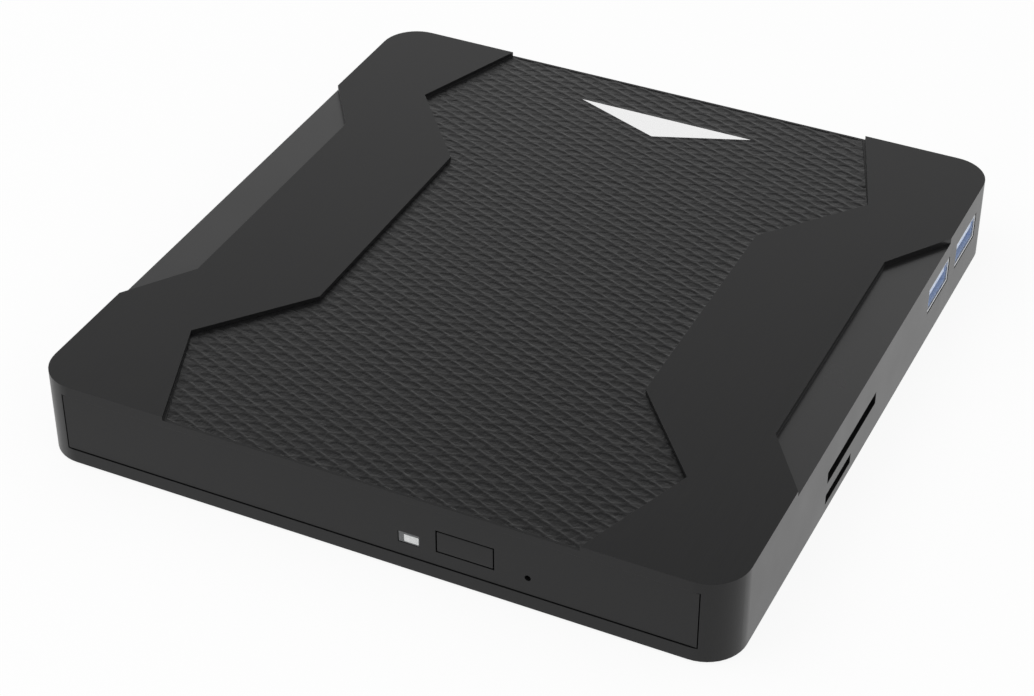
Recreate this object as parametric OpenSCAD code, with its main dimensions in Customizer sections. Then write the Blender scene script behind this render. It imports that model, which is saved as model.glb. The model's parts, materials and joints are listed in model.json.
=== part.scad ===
// Slim external disc drive with two card slots and two port sockets.
// Millimetres, +Z up. The tray opens towards -Y and the ports are on the +X side.
// The origin is on the table, under the middle of the case.

/* [Case] */
// Width of the case, left to right
case_w = 142; // [140:0.5:170]
// Depth of the case, front to back
case_d = 149.5; // [147:0.5:180]
// Corner radius of the case in plan
case_r = 8; // [5:0.5:9]
// Side wall of the case
wall = 1.8; // [1.4:0.1:2]
// Skin of the case under the ripple panel
skin_t = 0.8; // [0.6:0.1:1.6]
// Height of the side plates above the ripple panel
plate_step = 0.9; // [0.6:0.1:2]
// Thickness of the bottom cover
bottom_t = 1.8; // [1.6:0.1:2.4]
// Gap between the bottom cover and the case wall
bottom_gap = 0.2; // [0.1:0.05:0.4]

/* [Ripple panel] */
// Thickness of the ripple panel
panel_t = 0.9; // [0.6:0.1:1.2]
// Lip of the case before and behind the panel
panel_lip = 0.6; // [0.4:0.1:2]
// Half width of the panel at its waist
waist_x = 34.8; // [25:0.1:40]
// Half length of the panel's waist
waist_y = 28.6; // [20:0.1:35]
// Half width of the panel at its shoulders
shoulder_x = 51.6; // [44:0.1:55]
// Half distance between the panel's shoulders
shoulder_y = 49.2; // [40:0.1:60]
// Half width of the panel at the front and rear edge
panel_end_x = 41.8; // [38:0.1:50]
// Width of the triangular inlay
inlay_w = 40.4; // [20:0.1:60]
// Length of the triangular inlay, base to tip
inlay_l = 7.9; // [4:0.1:20]
// Distance of the inlay's base from the rear edge
inlay_back = 10.75; // [4:0.25:40]

/* [Side scoops] */
// Width of the scoop in the side plate
scoop_w = 9.5; // [5:0.1:12]
// Length of the scoop at its inner edge
scoop_inner_l = 61.4; // [40:0.2:70]
// Length of the scoop at the side of the case
scoop_outer_l = 89; // [72:0.5:110]
// Depth of the scoop below the side plate
scoop_depth = 1.2; // [0.6:0.1:1.6]

/* [Feet and screws] */
// Diameter of a rubber foot
foot_d = 9; // [6:0.5:10]
// Thickness of a rubber foot
foot_t = 1.2; // [1:0.1:1.5]
// How far a foot stands out of the bottom cover
foot_proud = 0.6; // [0.4:0.1:0.9]
// Distance of a foot's middle from the case's sides and ends
foot_inset = 12; // [10:0.5:20]
// Diameter of a screw's shank
screw_d = 2; // [1.6:0.1:2.2]
// Diameter of a screw's head
head_d = 3.6; // [3:0.1:4]
// Height of a screw's head
head_h = 0.9; // [0.7:0.05:1]
// Diameter of a screw boss
boss_d = 4.4; // [4:0.1:4.6]
// Play of a screw or a pin in its hole, on the radius
hole_fit = 0.05; // [0.02:0.01:0.1]

/* [Bezel] */
// How far the tray bezel reaches past the drive at each side
bezel_lap = 0.2; // [0:0.05:0.4]
// Thickness of the tray bezel
bezel_t = 2.15; // [1.9:0.05:3]
// How far the bezel's face stands back from the case
bezel_inset = 0.2; // [0:0.05:0.4]
// Height of the bezel's lower edge above the case's lower edge
bezel_rise = 3.1; // [2.4:0.1:3.6]
// Height of the case's front rail above the bezel
bezel_head = 2.5; // [2.3:0.1:3]
// Gap at the sides and the foot of the bezel
bezel_gap = 0.2; // [0.15:0.05:0.6]
// Gap over the bezel
bezel_top_gap = 0.15; // [0.1:0.05:0.3]
// Width of the eject button
button_w = 11.2; // [8:0.1:13]
// Height of the eject button
button_h = 4.6; // [3:0.1:5]
// Place of the eject button from the middle of the bezel
button_x = 19.8; // [17:0.1:20]
// Height of the button's middle above the bezel's foot
button_rise = 5.5; // [4.8:0.1:5.8]
// Gap round the eject button
button_gap = 0.22; // [0.15:0.01:0.4]
// Travel of the eject button
button_travel = 0.7; // [0.4:0.05:0.75]
// Width of the status lens
lens_w = 4.2; // [2:0.1:5]
// Height of the status lens
lens_h = 2.4; // [1.5:0.1:3]
// Place of the status lens from the middle of the bezel
lens_x = 8.5; // [6:0.1:9]
// Height of the lens's middle above the bezel's foot
lens_rise = 4; // [3.5:0.1:4.5]
// Diameter of the emergency pinhole
pinhole_d = 1.2; // [0.8:0.1:1.6]
// Place of the pinhole from the middle of the bezel
pinhole_x = 32.2; // [30:0.1:34]
// Height of the pinhole above the bezel's foot
pinhole_rise = 3.65; // [3:0.05:4.5]

/* [Drive] */
// Room behind the drive, for the bridge board
drive_back = 18.75; // [18:0.25:22]
// Sheet of the chassis and the drive cover
sheet = 0.6; // [0.5:0.05:0.7]
// Space between the drive and the case wall at each side
side_margin = 4.9; // [4.8:0.1:5.2]
// Height of the posts that carry the drive
drive_post_h = 3.2; // [3:0.1:3.6]
// Room for the mechanism between the pan and the tray
mech_h = 4.7; // [4.6:0.1:5.4]
// Room between the tray's rim and the drive cover
rim_room = 0.7; // [0.4:0.1:1.2]
// Room between the drive cover and the case
headroom = 0.1; // [0.1:0.05:0.6]
// Width of the chassis's step on the port side
ledge_w = 26.3; // [25:0.1:26.5]
// Width of the chassis's cut-out at the port sockets
notch_w = 14.3; // [13:0.1:15]

/* [Tray] */
// Floor of the tray
tray_t = 1.2; // [1:0.1:1.6]
// Height of the tray's rim above the disc recess
rim_h = 2.5; // [2:0.1:3]
// Diameter of the disc recess
recess_d = 121; // [120.5:0.1:122]
// Width of the rim in front of the disc recess
rim_front = 3.15; // [2:0.05:4]
// Room behind the tray when it is shut
tray_back = 5.4; // [4:0.1:10]
// Width of a sliding rail
rail_w = 2.4; // [2:0.1:2.8]
// Depth of the groove in a sliding rail
groove_d = 1.2; // [0.9:0.1:1.3]
// Lip of a sliding rail over and under its groove
rail_lip = 0.5; // [0.4:0.05:0.6]
// Tongue along the side of the tray
tongue_t = 0.6; // [0.5:0.05:0.8]
// Web of a fixed guide
guide_web = 1.2; // [0.8:0.1:1.4]
// Lip of a fixed guide
guide_lip = 0.3; // [0.25:0.05:0.4]
// Running play of the rails
run_gap = 0.1; // [0.06:0.01:0.14]

/* [Pickup] */
// Direction in which the pickup leaves the spindle, in plan
traverse_angle = 225; // [220:1:230]
// Radius of the objective lens's inner stop on the disc
pickup_r = 23; // [23:0.5:24]
// Travel of the pickup
pickup_travel = 34; // [30:0.5:34]
// Diameter of the guide rods
rod_d = 2; // [1.6:0.1:2.2]
// Distance of a guide rod from the pickup's path
rod_offset = 10; // [9.8:0.1:10.2]
// Diameter of the lead screw
lead_d = 1.8; // [1.4:0.1:2]
// Distance of the lead screw from the pickup's path
lead_offset = 14; // [13.9:0.1:14.4]
// Diameter of the sled motor
sled_motor_d = 4.2; // [3.4:0.1:4.4]
// Width of the pickup sled inside its window
sled_w = 15.4; // [12:0.2:15.6]
// Diameter of the objective lens
objective_d = 4.4; // [3:0.1:5]
// Travel of the objective lens up and down
focus_travel = 0.4; // [0.2:0.05:0.5]
// Diameter of the turntable
turntable_d = 29; // [26:0.5:29.5]
// Diameter of the hub that centres the disc
hub_d = 14.8; // [14.6:0.05:14.9]
// Height of the hub above the disc seat
hub_h = 1.7; // [1.4:0.1:1.8]
// Height of the disc seat above the recess floor
seat_h = 0.8; // [0.7:0.05:1]
// Diameter of the spindle's shaft
shaft_d = 2; // [1.5:0.1:3]
// Running play of shafts and rods, on the radius
shaft_fit = 0.05; // [0.02:0.01:0.08]
// Reach of a hub claw beyond the hub
claw_reach = 0.22; // [0.1:0.02:0.3]
// Width of a hub claw
claw_w = 2.4; // [1.6:0.1:3]

/* [Ports] */
// Width of a port socket's shell
usb_w = 13.1; // [12:0.1:13.5]
// Height of a port socket's shell
usb_h = 5.7; // [5:0.1:6]
// Depth of a port socket
usb_l = 14.4; // [12:0.1:14.8]
// Sheet of a port socket's shell
usb_sheet = 0.35; // [0.25:0.05:0.5]
// Height of a socket's middle above the hub board
usb_rise = 4.7; // [4.2:0.1:5]
// Distance of the front socket's middle from the rear edge
usb_front_back = 36.1; // [34:0.1:37]
// Distance of the rear socket's middle from the rear edge
usb_rear_back = 18; // [17:0.1:19]
// Gap round a socket in the case
port_gap = 0.15; // [0.1:0.05:0.3]
// Width of the wide card slot
sd_w = 27.1; // [25.5:0.1:28]
// Height of the wide card slot
sd_slot_h = 2.7; // [2.2:0.1:2.8]
// Distance of the wide slot's middle in front of the case's middle
sd_front = 13.55; // [12:0.05:15]
// Height of the wide slot's middle above the hub board
sd_rise = 2.75; // [2.7:0.05:3]
// Depth of the wide card socket
sd_l = 24; // [22:0.5:25]
// Width of the narrow card slot
tf_w = 13.8; // [12.5:0.1:15]
// Height of the narrow card slot
tf_slot_h = 2.3; // [1.6:0.1:2.4]
// Distance of the narrow slot's middle in front of the case's middle
tf_front = 20.4; // [19:0.1:21]
// Height of the narrow card socket
tf_h = 1.9; // [1.7:0.05:2]
// Depth of the narrow card socket
tf_l = 15; // [13:0.5:17]
// Height of the posts that carry the hub board
hub_post_h = 2.6; // [2.5:0.1:3]
// Thickness of the hub board
hub_t = 1; // [0.8:0.1:1.2]
// Width of the inlet's shell
inlet_w = 8.94; // [8:0.02:10]
// Height of the inlet's shell
inlet_h = 3.2; // [2.8:0.05:3.6]
// Depth of the inlet
inlet_l = 7.3; // [6:0.1:8]
// Place of the inlet from the middle of the rear wall
inlet_x = 30; // [20:0.5:36]

/* [Hidden] */
$fn = 64;
over = 1;

// Levels of the stack, from the table up
case_z = foot_proud;
floor_z = case_z + bottom_t;
hub_z = floor_z + hub_post_h;
hub_top = hub_z + hub_t;
pan_z = floor_z + drive_post_h;
pan_top = pan_z + sheet;
tray_z = pan_top + mech_h;
deck_z = tray_z + tray_t;
rim_z = deck_z + rim_h;
cover_z = rim_z + rim_room;
skin_z = cover_z + sheet + headroom;
pocket_z = skin_z + skin_t;
panel_z = pocket_z + panel_t;
top_z = panel_z + plate_step;
scoop_z = top_z - scoop_depth;
seat_z = deck_z + seat_h;

// Lines in plan
front_play = 0.4;
boss_front_inset = 14.75;
boss_rear_inset = 5.2;
case_half = case_w / 2;
front_y = -case_d / 2;
rear_y = case_d / 2;
inner_half = case_half - wall;
inner_rear = rear_y - wall;
chassis_half = inner_half - side_margin;
bezel_w = 2 * (chassis_half + bezel_lap);
bezel_front = front_y + bezel_inset;
tray_front = bezel_front + bezel_t;
drive_front = tray_front + front_play;
drive_rear = rear_y - drive_back;
tray_rear = drive_rear - sheet - tray_back;
disc_y = tray_front + rim_front + recess_d / 2;
boss_x = (inner_half + chassis_half) / 2;
boss_front = front_y + boss_front_inset;
boss_rear = inner_rear - boss_rear_inset;
boss_depth = 6;

// Rails and guides, for the right side and mirrored for the left
guide_out = chassis_half - sheet;
rail_out = guide_out - guide_web - 2 * run_gap;
rail_in = rail_out - rail_w;
tray_half = rail_in - 3 * run_gap;
tongue_out = rail_in + groove_d - 2 * run_gap;
tongue_z = tray_z + (tray_t - tongue_t) / 2;
groove_z = tongue_z - run_gap;
groove_h = tongue_t + 2 * run_gap;
rail_z = groove_z - rail_lip;
rail_h = groove_h + 2 * rail_lip;
guide_z = rail_z - run_gap - guide_lip;
guide_h = rail_h + 2 * run_gap + 2 * guide_lip;

// Ports
port_inset = 0.1;
inlet_inset = 0.2;
socket_play = 0.2;
board_play = 0.3;
card_step = 1.3;
sd_wall = 0.3;
tf_drop = 0.4;
port_out = case_half - port_inset;
inlet_out = rear_y - inlet_inset;
usb_z = hub_top + usb_rise;
usb_front_y = rear_y - usb_front_back;
usb_rear_y = rear_y - usb_rear_back;
sd_z = hub_top + sd_rise;
sd_h = sd_rise + sd_slot_h / 2;
tf_z = hub_z - tf_h / 2 - tf_drop;
socket_out = inner_half - socket_play;
board_side = inner_half - board_play;

// Step and cut-out of the chassis on the port side
notch_play = 2.1;
rail_end = 0.5;
rail_stop = 0.3;
guide_stop = 0.1;
window_front_play = 3.9;
window_rear_play = 5;
ledge_x = chassis_half - ledge_w;
ledge_z = guide_z - sheet;
notch_x = chassis_half - notch_w;
notch_y = usb_front_y - usb_w / 2 - notch_play;
rail_front = drive_front + rail_end;
rail_rear = notch_y - sheet - rail_stop;
window_front = -sd_front - sd_w / 2 - window_front_play;
window_rear = -sd_front + sd_w / 2 + window_rear_play;

// Bezel
bezel_z = case_z + bezel_rise;
bezel_top = top_z - bezel_head;
button_z = bezel_z + button_rise;
status_z = bezel_z + lens_rise;
pinhole_z = bezel_z + pinhole_rise;
button_play = 0.2;
button_t = bezel_t - button_travel - button_play;
stem_w = 5;
stem_h = 2.2;
stem_l = 0.5;
stem_drop = 0.1;
stem_z = button_z - stem_drop;
stem_y = tray_front + stem_l;
lens_inset = 0.15;

// Small boards under the tray
front_board_t = 0.8;
front_board_drop = 4;
front_board_gap = 1.2;
front_board_z = tray_z - front_board_drop;
front_board_top = front_board_z + front_board_t;
front_board_y = tray_front + front_board_gap;
front_board_d = 10.7;
front_board_x = [3, 29.4];
front_posts = [[5, 9.4], [27.2, 9.4]];

// Pickup mechanism, in the traverse's own directions
frame_rise = 1.2;
frame_t = 0.6;
axis_rise = 1.4;
frame_z = pan_top + frame_rise;
frame_top = frame_z + frame_t;
frame_u = [-17, pickup_r + pickup_travel + 11];
frame_v = [-14, lead_offset + 3.6];
axis_z = frame_top + axis_rise;
sled_back = 9;
sled_front = 8;
sled_drop = 0.2;
sled_gap = 0.3;
sled_rise = 2;
sled_z = frame_z - sled_drop;
sled_top = axis_z + sled_rise;
sled_wing = rod_offset + 1.5;
pocket_floor = axis_z - 0.5;
lens_room = 0.6;
lens_t = 0.6;
lens_top = seat_z - focus_travel - lens_room;
window_u = [pickup_r - sled_back - 1.5, pickup_r + pickup_travel + sled_front + 0.2];
tab_t = 1.2;
tab_h = 1.6;
tab_root = 0.1;
tab_u = [pickup_r - sled_back - tab_t - 0.2, pickup_r + pickup_travel + sled_front + 0.3];
cover_t = 0.4;
shield_z = deck_z - cover_t;
motor_u = pickup_r + pickup_travel - 1.8;
motor_l = 9.6;
motor_gap = 0.2;
ears = [[25, frame_v[0] - 4.5], [45, frame_v[1] + 3.5], [frame_u[0] - 4, 0]];
ear_d = 6.6;
grommet_d = 5.6;
grommet_r = 1.9;
grommet_lip = 0.4;
small_screw_d = 1.4;
post_d = 3.4;
shield_posts = [[frame_u[1] - 1.4, frame_v[0] + 1.4], [frame_u[1] - 1.4, frame_v[1] - 1.4],
                [-11.6, -11.6], [-11.6, 11.6]];
spindle_r = 10;
spindle_foot_r = 6;
flange_r = 12;
flange_t = 0.8;
opening_r = turntable_d / 2 + 3.5;
table_t = 1.2;
mat_t = 0.2;
claw_h = 1;
claw_play = 0.1;
claw_z = seat_z + hub_h / 2;

// Latch under the tray
latch_pin = [ledge_x - 8, disc_y - 31.25];
latch_pivot = [latch_pin[0] + 1.9, latch_pin[1] - 13];
latch_release = 12;
latch_drop = 3.7;
latch_z = tray_z - latch_drop;
latch_h = 1.6;
pivot_d = 1.6;
pin_d = 2;
pin_h = 3;

// Screw places
case_bosses = [for (sx = [-1, 1], y = [boss_front, boss_rear]) [sx * boss_x, y]];
post_x = [14.3 - chassis_half, ledge_x - 8];
post_y = [drive_front + 22, drive_rear - 12];
drive_posts = [for (x = post_x, y = post_y) [x, y]];
feet = [for (sx = [-1, 1], sy = [-1, 1]) [sx * (case_half - foot_inset), sy * (rear_y - foot_inset)]];
hub_screw_l = 2.8;

// Main board on the chassis pan, and the plug and socket between it and the hub board
main_rise = 0.6;
main_t = 0.8;
main_gap = 10.6;
post_inset = 4;
main_z = pan_top + main_rise;
main_top = main_z + main_t;
main_x = [6.3 - chassis_half, ledge_x - 16];
main_y = [disc_y + ears[2][0] * sin(traverse_angle) + ear_d / 2 + main_gap, drive_rear - 2];
main_posts = [for (x = [main_x[0] + post_inset, main_x[1] - post_inset],
                   y = [main_y[0] + post_inset, main_y[1] - post_inset]) [x, y]];
link_w = 24;
link_h = 2.8;
link_inset = 10;
link_x = main_x[1] - link_inset - link_w / 2;

// Hub board round the drive's rear right corner
board_rear_play = 0.6;
hub_board_x = link_x - link_w / 2 - 8;
hub_board_front = window_front + 1;
hub_board_rear = drive_rear + 2.5;
hub_posts = [[ledge_x + 6, notch_y - 20], [board_side - 7, notch_y - 4.5], [ledge_x + 6, drive_rear + 6],
             [hub_board_x + 5, inner_rear - 7.5]];

// Shapes that repeat

// Block between two corners
module block(low, high) {
    translate(low) cube(high - low);
}

// Block with round upright edges, its middle over the origin
module round_block(w, d, h, r) {
    translate([-w / 2 + r, -d / 2, 0]) cube([w - 2 * r, d, h]);
    translate([-w / 2, -d / 2 + r, 0]) cube([w, d - 2 * r, h]);
    for (sx = [-1, 1], sy = [-1, 1])
        translate([sx * (w / 2 - r), sy * (d / 2 - r), 0]) cylinder(r = r, h = h);
}

// Children at each place of a list, at one level
module at_each(places, z) {
    for (p = places) translate([p[0], p[1], z]) children();
}

// Children in the traverse's own frame: u along the pickup's path, v across it
module in_traverse() {
    translate([0, disc_y, 0]) rotate(traverse_angle) children();
}

// Screw that points up, with its head at the bottom and a cross in it
module screw_up(d, shank_l, top_d, top_h) {
    cross_w = top_d / 5;
    cross_l = top_d * 0.65;
    difference() {
        union() {
            cylinder(d = top_d, h = top_h);
            translate([0, 0, top_h]) cylinder(d = d, h = shank_l);
        }
        for (turn = [0, 90])
            rotate(turn)
                translate([-cross_l / 2, -cross_w / 2, -over]) cube([cross_l, cross_w, over + top_h / 2]);
    }
}

// Screw that points down, its head's seat at the origin
module screw_down(d, shank_l, top_d, top_h) {
    translate([0, 0, top_h]) mirror([0, 0, 1]) screw_up(d, shank_l, top_d, top_h);
}

// Case

// Outline of the ripple panel, drawn in by a gap, with its ends at end_y
module panel_outline(gap, end_y) {
    half = [[panel_end_x - gap, end_y], [shoulder_x - gap, shoulder_y], [waist_x - gap, waist_y]];
    right = concat([for (p = half) [p[0], -p[1]]], [for (i = [2:-1:0]) half[i]]);
    left = [for (i = [5:-1:0]) [-right[i][0], right[i][1]]];
    polygon(concat(right, left));
}

module case_outline(z, h) {
    translate([0, 0, z]) round_block(case_w, case_d, h, case_r);
}

// Cut through the right side wall: middle y and z, width and height
module side_port(y, z, w, h) {
    block([inner_half - over, y - w / 2, z - h / 2], [case_half + over, y + w / 2, z + h / 2]);
}

module inlet_slot(w, h, y0, y1) {
    z = hub_top + inlet_h / 2;
    straight = (w - h) / 2;
    block([inlet_x - straight, y0, z - h / 2], [inlet_x + straight, y1, z + h / 2]);
    for (side = [-1, 1])
        translate([inlet_x + side * straight, y0, z]) rotate([-90, 0, 0]) cylinder(d = h, h = y1 - y0);
}

module scoop_cut() {
    out = case_half + over;
    slope = (scoop_outer_l - scoop_inner_l) / 2 / scoop_w;
    reach = scoop_outer_l / 2 + slope * over;
    for (side = [0, 1])
        mirror([side, 0, 0])
            translate([0, 0, scoop_z])
                linear_extrude(scoop_depth + over)
                    polygon([[case_half - scoop_w, -scoop_inner_l / 2], [out, -reach],
                             [out, reach], [case_half - scoop_w, scoop_inner_l / 2]]);
}

module top_cover() {
    opening_x = bezel_w / 2 + bezel_gap;
    color("#26272a") difference() {
        union() {
            difference() {
                case_outline(case_z, top_z - case_z);
                translate([0, 0, case_z - over])
                    round_block(2 * inner_half, 2 * inner_rear, skin_z - case_z + over, case_r - wall);
            }
            at_each(case_bosses, floor_z) cylinder(d = boss_d, h = pocket_z - floor_z);
            for (b = case_bosses)
                block([b[0] > 0 ? b[0] : -inner_half - wall / 2, b[1] - wall / 2, floor_z],
                      [b[0] > 0 ? inner_half + wall / 2 : b[0], b[1] + wall / 2, pocket_z]);
        }
        translate([0, 0, panel_z]) linear_extrude(plate_step + over) panel_outline(0, rear_y + over);
        translate([0, 0, pocket_z]) linear_extrude(panel_t + over) panel_outline(0, rear_y - panel_lip);
        scoop_cut();
        block([-opening_x, front_y - over, bezel_z - bezel_gap],
              [opening_x, tray_front + front_play / 2, bezel_top + bezel_top_gap]);
        for (y = [usb_front_y, usb_rear_y])
            side_port(y, usb_z, usb_w + 2 * port_gap, usb_h + 2 * port_gap);
        side_port(-sd_front, sd_z, sd_w, sd_slot_h);
        side_port(-tf_front, tf_z, tf_w, tf_slot_h);
        inlet_slot(inlet_w + 4 * port_gap, inlet_h + 4 * port_gap, inner_rear - over, rear_y + over);
        at_each(case_bosses, floor_z - over) cylinder(d = screw_d + 2 * hole_fit, h = over + boss_depth);
    }
}

module triangle(gap, z, h) {
    base = rear_y - inlay_back;
    slope = atan(2 * inlay_l / inlay_w);
    half = inlay_w / 2 + gap / tan(slope / 2);
    translate([0, 0, z])
        linear_extrude(h)
            polygon([[-half, base + gap], [half, base + gap], [0, base - inlay_l - gap / cos(slope)]]);
}

module ripple_panel() {
    color("#303134") difference() {
        translate([0, 0, pocket_z])
            linear_extrude(panel_t) panel_outline(hole_fit, rear_y - panel_lip - hole_fit);
        triangle(hole_fit, pocket_z - over, panel_t + 2 * over);
    }
}

module triangle_inlay() {
    color("white") triangle(0, pocket_z, panel_t);
}

module bottom_cover() {
    seat = foot_t - foot_proud;
    edge = wall + bottom_gap;
    counterbore = head_h + 2 * hole_fit;
    root = bottom_t / 2;
    color("#232427") difference() {
        union() {
            translate([0, 0, case_z])
                round_block(case_w - 2 * edge, case_d - 2 * edge, bottom_t, case_r - edge);
            at_each(drive_posts, floor_z - root) cylinder(d = boss_d, h = drive_post_h + root);
            at_each(hub_posts, floor_z - root) cylinder(d = boss_d, h = hub_post_h + root);
        }
        at_each(feet, case_z - over) cylinder(d = foot_d + 2 * hole_fit, h = seat + over);
        at_each(concat(case_bosses, drive_posts), case_z - over) {
            cylinder(d = head_d + 4 * hole_fit, h = counterbore + over);
            cylinder(d = screw_d + 2 * hole_fit, h = bottom_t + drive_post_h + 2 * over);
        }
        at_each(hub_posts, hub_z - hub_screw_l - hole_fit)
            cylinder(d = screw_d + 2 * hole_fit, h = hub_screw_l + over);
    }
}

module rubber_feet() {
    rounding = foot_t / 4;
    color("#1b1b1c") at_each(feet, 0) {
        cylinder(d1 = foot_d - 2 * rounding, d2 = foot_d, h = rounding);
        translate([0, 0, rounding]) cylinder(d = foot_d, h = foot_t - rounding);
    }
}

module case_screws() {
    color("#4a4a4c") at_each(case_bosses, case_z + 2 * hole_fit)
        screw_up(screw_d, boss_depth, head_d, head_h);
}

// Drive chassis and what is fixed to it

// Sheet with the chassis's outline in plan
module drive_sheet(x0, z) {
    block([x0, drive_front, z], [notch_x, drive_rear, z + sheet]);
    block([notch_x - over, drive_front, z], [chassis_half, notch_y, z + sheet]);
}

module drive_chassis() {
    link_gap = 0.4;
    color("#b9bcc0") difference() {
        union() {
            block([-chassis_half, drive_front, pan_z], [ledge_x + sheet, drive_rear, pan_top]);
            block([-chassis_half, drive_front, pan_z], [sheet - chassis_half, drive_rear, cover_z]);
            block([-chassis_half, drive_rear - sheet, pan_z], [ledge_x + sheet, drive_rear, cover_z]);
            block([ledge_x, drive_front, pan_z], [ledge_x + sheet, drive_rear, ledge_z + sheet]);
            drive_sheet(ledge_x, ledge_z);
            block([guide_out, drive_front, ledge_z], [chassis_half, notch_y, cover_z]);
            block([notch_x, notch_y - sheet, ledge_z], [chassis_half, notch_y, cover_z]);
            block([notch_x - sheet, notch_y - sheet, ledge_z], [notch_x, drive_rear, cover_z]);
            block([ledge_x, drive_rear - sheet, ledge_z], [notch_x, drive_rear, cover_z]);
            at_each(main_posts, pan_z) cylinder(d = boss_d, h = main_z - pan_z);
        }
        block([ledge_x + 2, window_front, ledge_z - over],
              [chassis_half + over, window_rear, guide_z + guide_lip]);
        block([link_x - link_w / 2 - link_gap, drive_rear - sheet - over, main_top - link_gap],
              [link_x + link_w / 2 + link_gap, drive_rear + over, main_top + link_h + link_gap]);
        at_each(drive_posts, pan_z - over) cylinder(d = screw_d + 2 * hole_fit, h = sheet + 2 * over);
        at_each(main_posts, pan_z - over) cylinder(d = screw_d + 2 * hole_fit, h = sheet + 4 * over);
    }
}

module drive_cover() {
    color("#c4c7ca") drive_sheet(-chassis_half, cover_z);
}

module drive_screws() {
    shank = bottom_t + drive_post_h + sheet - head_h - 2 * hole_fit;
    color("#4a4a4c") at_each(drive_posts, case_z + 2 * hole_fit) screw_up(screw_d, shank, head_d, head_h);
}

// Fixed guide on the right side, from the chassis front to a rear end
module guide(rear) {
    lip_in = rail_out - rail_w / 2;
    block([guide_out - guide_web, rail_front, guide_z], [guide_out, rear, guide_z + guide_h]);
    for (z = [guide_z, guide_z + guide_h - guide_lip])
        block([lip_in, rail_front, z], [guide_out, rear, z + guide_lip]);
}

module left_guide() {
    color("#d7d6cf") mirror([1, 0, 0]) guide(drive_rear - sheet - guide_stop);
}

module right_guide() {
    color("#d7d6cf") difference() {
        guide(notch_y - sheet - guide_stop);
        block([0, window_front, guide_z - over], [chassis_half, window_rear, guide_z + guide_lip]);
    }
}

module latch_pin_post() {
    color("#8e9196") translate([latch_pin[0], latch_pin[1], pan_top]) cylinder(d = pin_d, h = pin_h);
}

module main_board() {
    color("#1f5a3a") difference() {
        block([main_x[0], main_y[0], main_z], [main_x[1], main_y[1], main_top]);
        at_each(main_posts, main_z - over) cylinder(d = screw_d + 2 * hole_fit, h = main_t + 2 * over);
    }
}

module chip(x, y, w, d, z, h) {
    block([x - w / 2, y - d / 2, z], [x + w / 2, y + d / 2, z + h]);
}

module main_board_chips() {
    middle = (main_y[0] + main_y[1]) / 2;
    color("#222326") {
        chip(main_x[0] + 20, middle, 12, 12, main_top, 1);
        chip(main_x[0] + 37, middle + 4, 7, 9, main_top, 0.9);
        chip(main_x[0] + 37, middle - 8, 6, 5, main_top, 0.8);
        chip(main_x[1] - 14, middle - 7, 8, 6, main_top, 0.9);
        chip(main_x[0] + 9, middle, 4, 8, main_top, 0.8);
    }
}

module main_board_screws() {
    color("#a9abad") at_each(main_posts, main_top) screw_down(screw_d, main_top - pan_z, head_d, head_h);
}

module drive_connector() {
    half = link_w / 2;
    mouth = hub_board_rear - 0.6;
    rim = 1;
    color("#161719") translate([link_x, 0, main_top]) difference() {
        block([-half, drive_rear - 8, 0], [half, mouth, link_h]);
        block([rim - half, drive_rear - rim, rim], [half - rim, mouth + over, link_h - rim / 2]);
    }
}

module bridge_connector() {
    color("#d9d6c8") translate([link_x, 0, 0])
        block([-link_w / 2, hub_board_rear - 0.5, hub_top],
              [link_w / 2, hub_board_rear + 4.5, main_top + link_h]);
}

// Hub board with its sockets

module hub_board() {
    board_rear = inner_rear - board_rear_play;
    color("#1f5a3a") difference() {
        union() {
            block([ledge_x + 2.2, hub_board_front, hub_z], [board_side, board_rear, hub_top]);
            block([hub_board_x, hub_board_rear, hub_z], [board_side, board_rear, hub_top]);
        }
        at_each(hub_posts, hub_z - over) cylinder(d = screw_d + 2 * hole_fit, h = hub_t + 2 * over);
        block([case_half - case_r, boss_rear - boss_d / 2 - board_play, hub_z - over],
              [case_half, rear_y, hub_top + over]);
    }
}

module hub_board_chips() {
    color("#222326") {
        chip(ledge_x + 12, notch_y - 8, 9, 9, hub_top, 1);
        chip(ledge_x + 12, drive_rear - 12, 7, 7, hub_top, 0.9);
        chip(ledge_x + 13, notch_y + 4, 5, 6, hub_top, 1.2);
    }
}

module hub_board_screws() {
    color("#a9abad") at_each(hub_posts, hub_top) screw_down(screw_d, hub_t + hub_screw_l, head_d, head_h);
}

// Shell of a port socket, open at its mouth, with legs down to the board
module usb_shell(y) {
    back = port_out - usb_l;
    low = usb_z - usb_h / 2;
    leg = 1.6;
    color("#c9ccd0") {
        difference() {
            block([back, y - usb_w / 2, low], [port_out, y + usb_w / 2, low + usb_h]);
            block([back + usb_sheet, y - usb_w / 2 + usb_sheet, low + usb_sheet],
                  [port_out + over, y + usb_w / 2 - usb_sheet, low + usb_h - usb_sheet]);
        }
        for (side = [-1, 1], x = [back + 1, back + usb_l * 0.6])
            block([x, y + side * (usb_w - usb_sheet) / 2 - usb_sheet / 2, hub_top],
                  [x + leg, y + side * (usb_w - usb_sheet) / 2 + usb_sheet / 2, low + usb_sheet]);
    }
}

module usb_tongue(y) {
    back = port_out - usb_l + usb_sheet;
    tongue_w = usb_w - 2 * usb_sheet - 1.3;
    tongue_inset = 0.5;
    tongue_drop = 0.8;
    tongue_t = 1.8;
    base = 2.4;
    roof = usb_z + usb_h / 2 - usb_sheet;
    color("#2b62c9") {
        block([back, y - usb_w / 2 + usb_sheet + 0.05, usb_z - usb_h / 2 + usb_sheet + 0.05],
              [back + base, y + usb_w / 2 - usb_sheet - 0.05, roof - 0.05]);
        block([back, y - tongue_w / 2, roof - tongue_drop - tongue_t],
              [port_out - tongue_inset, y + tongue_w / 2, roof - tongue_drop]);
    }
}

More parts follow.
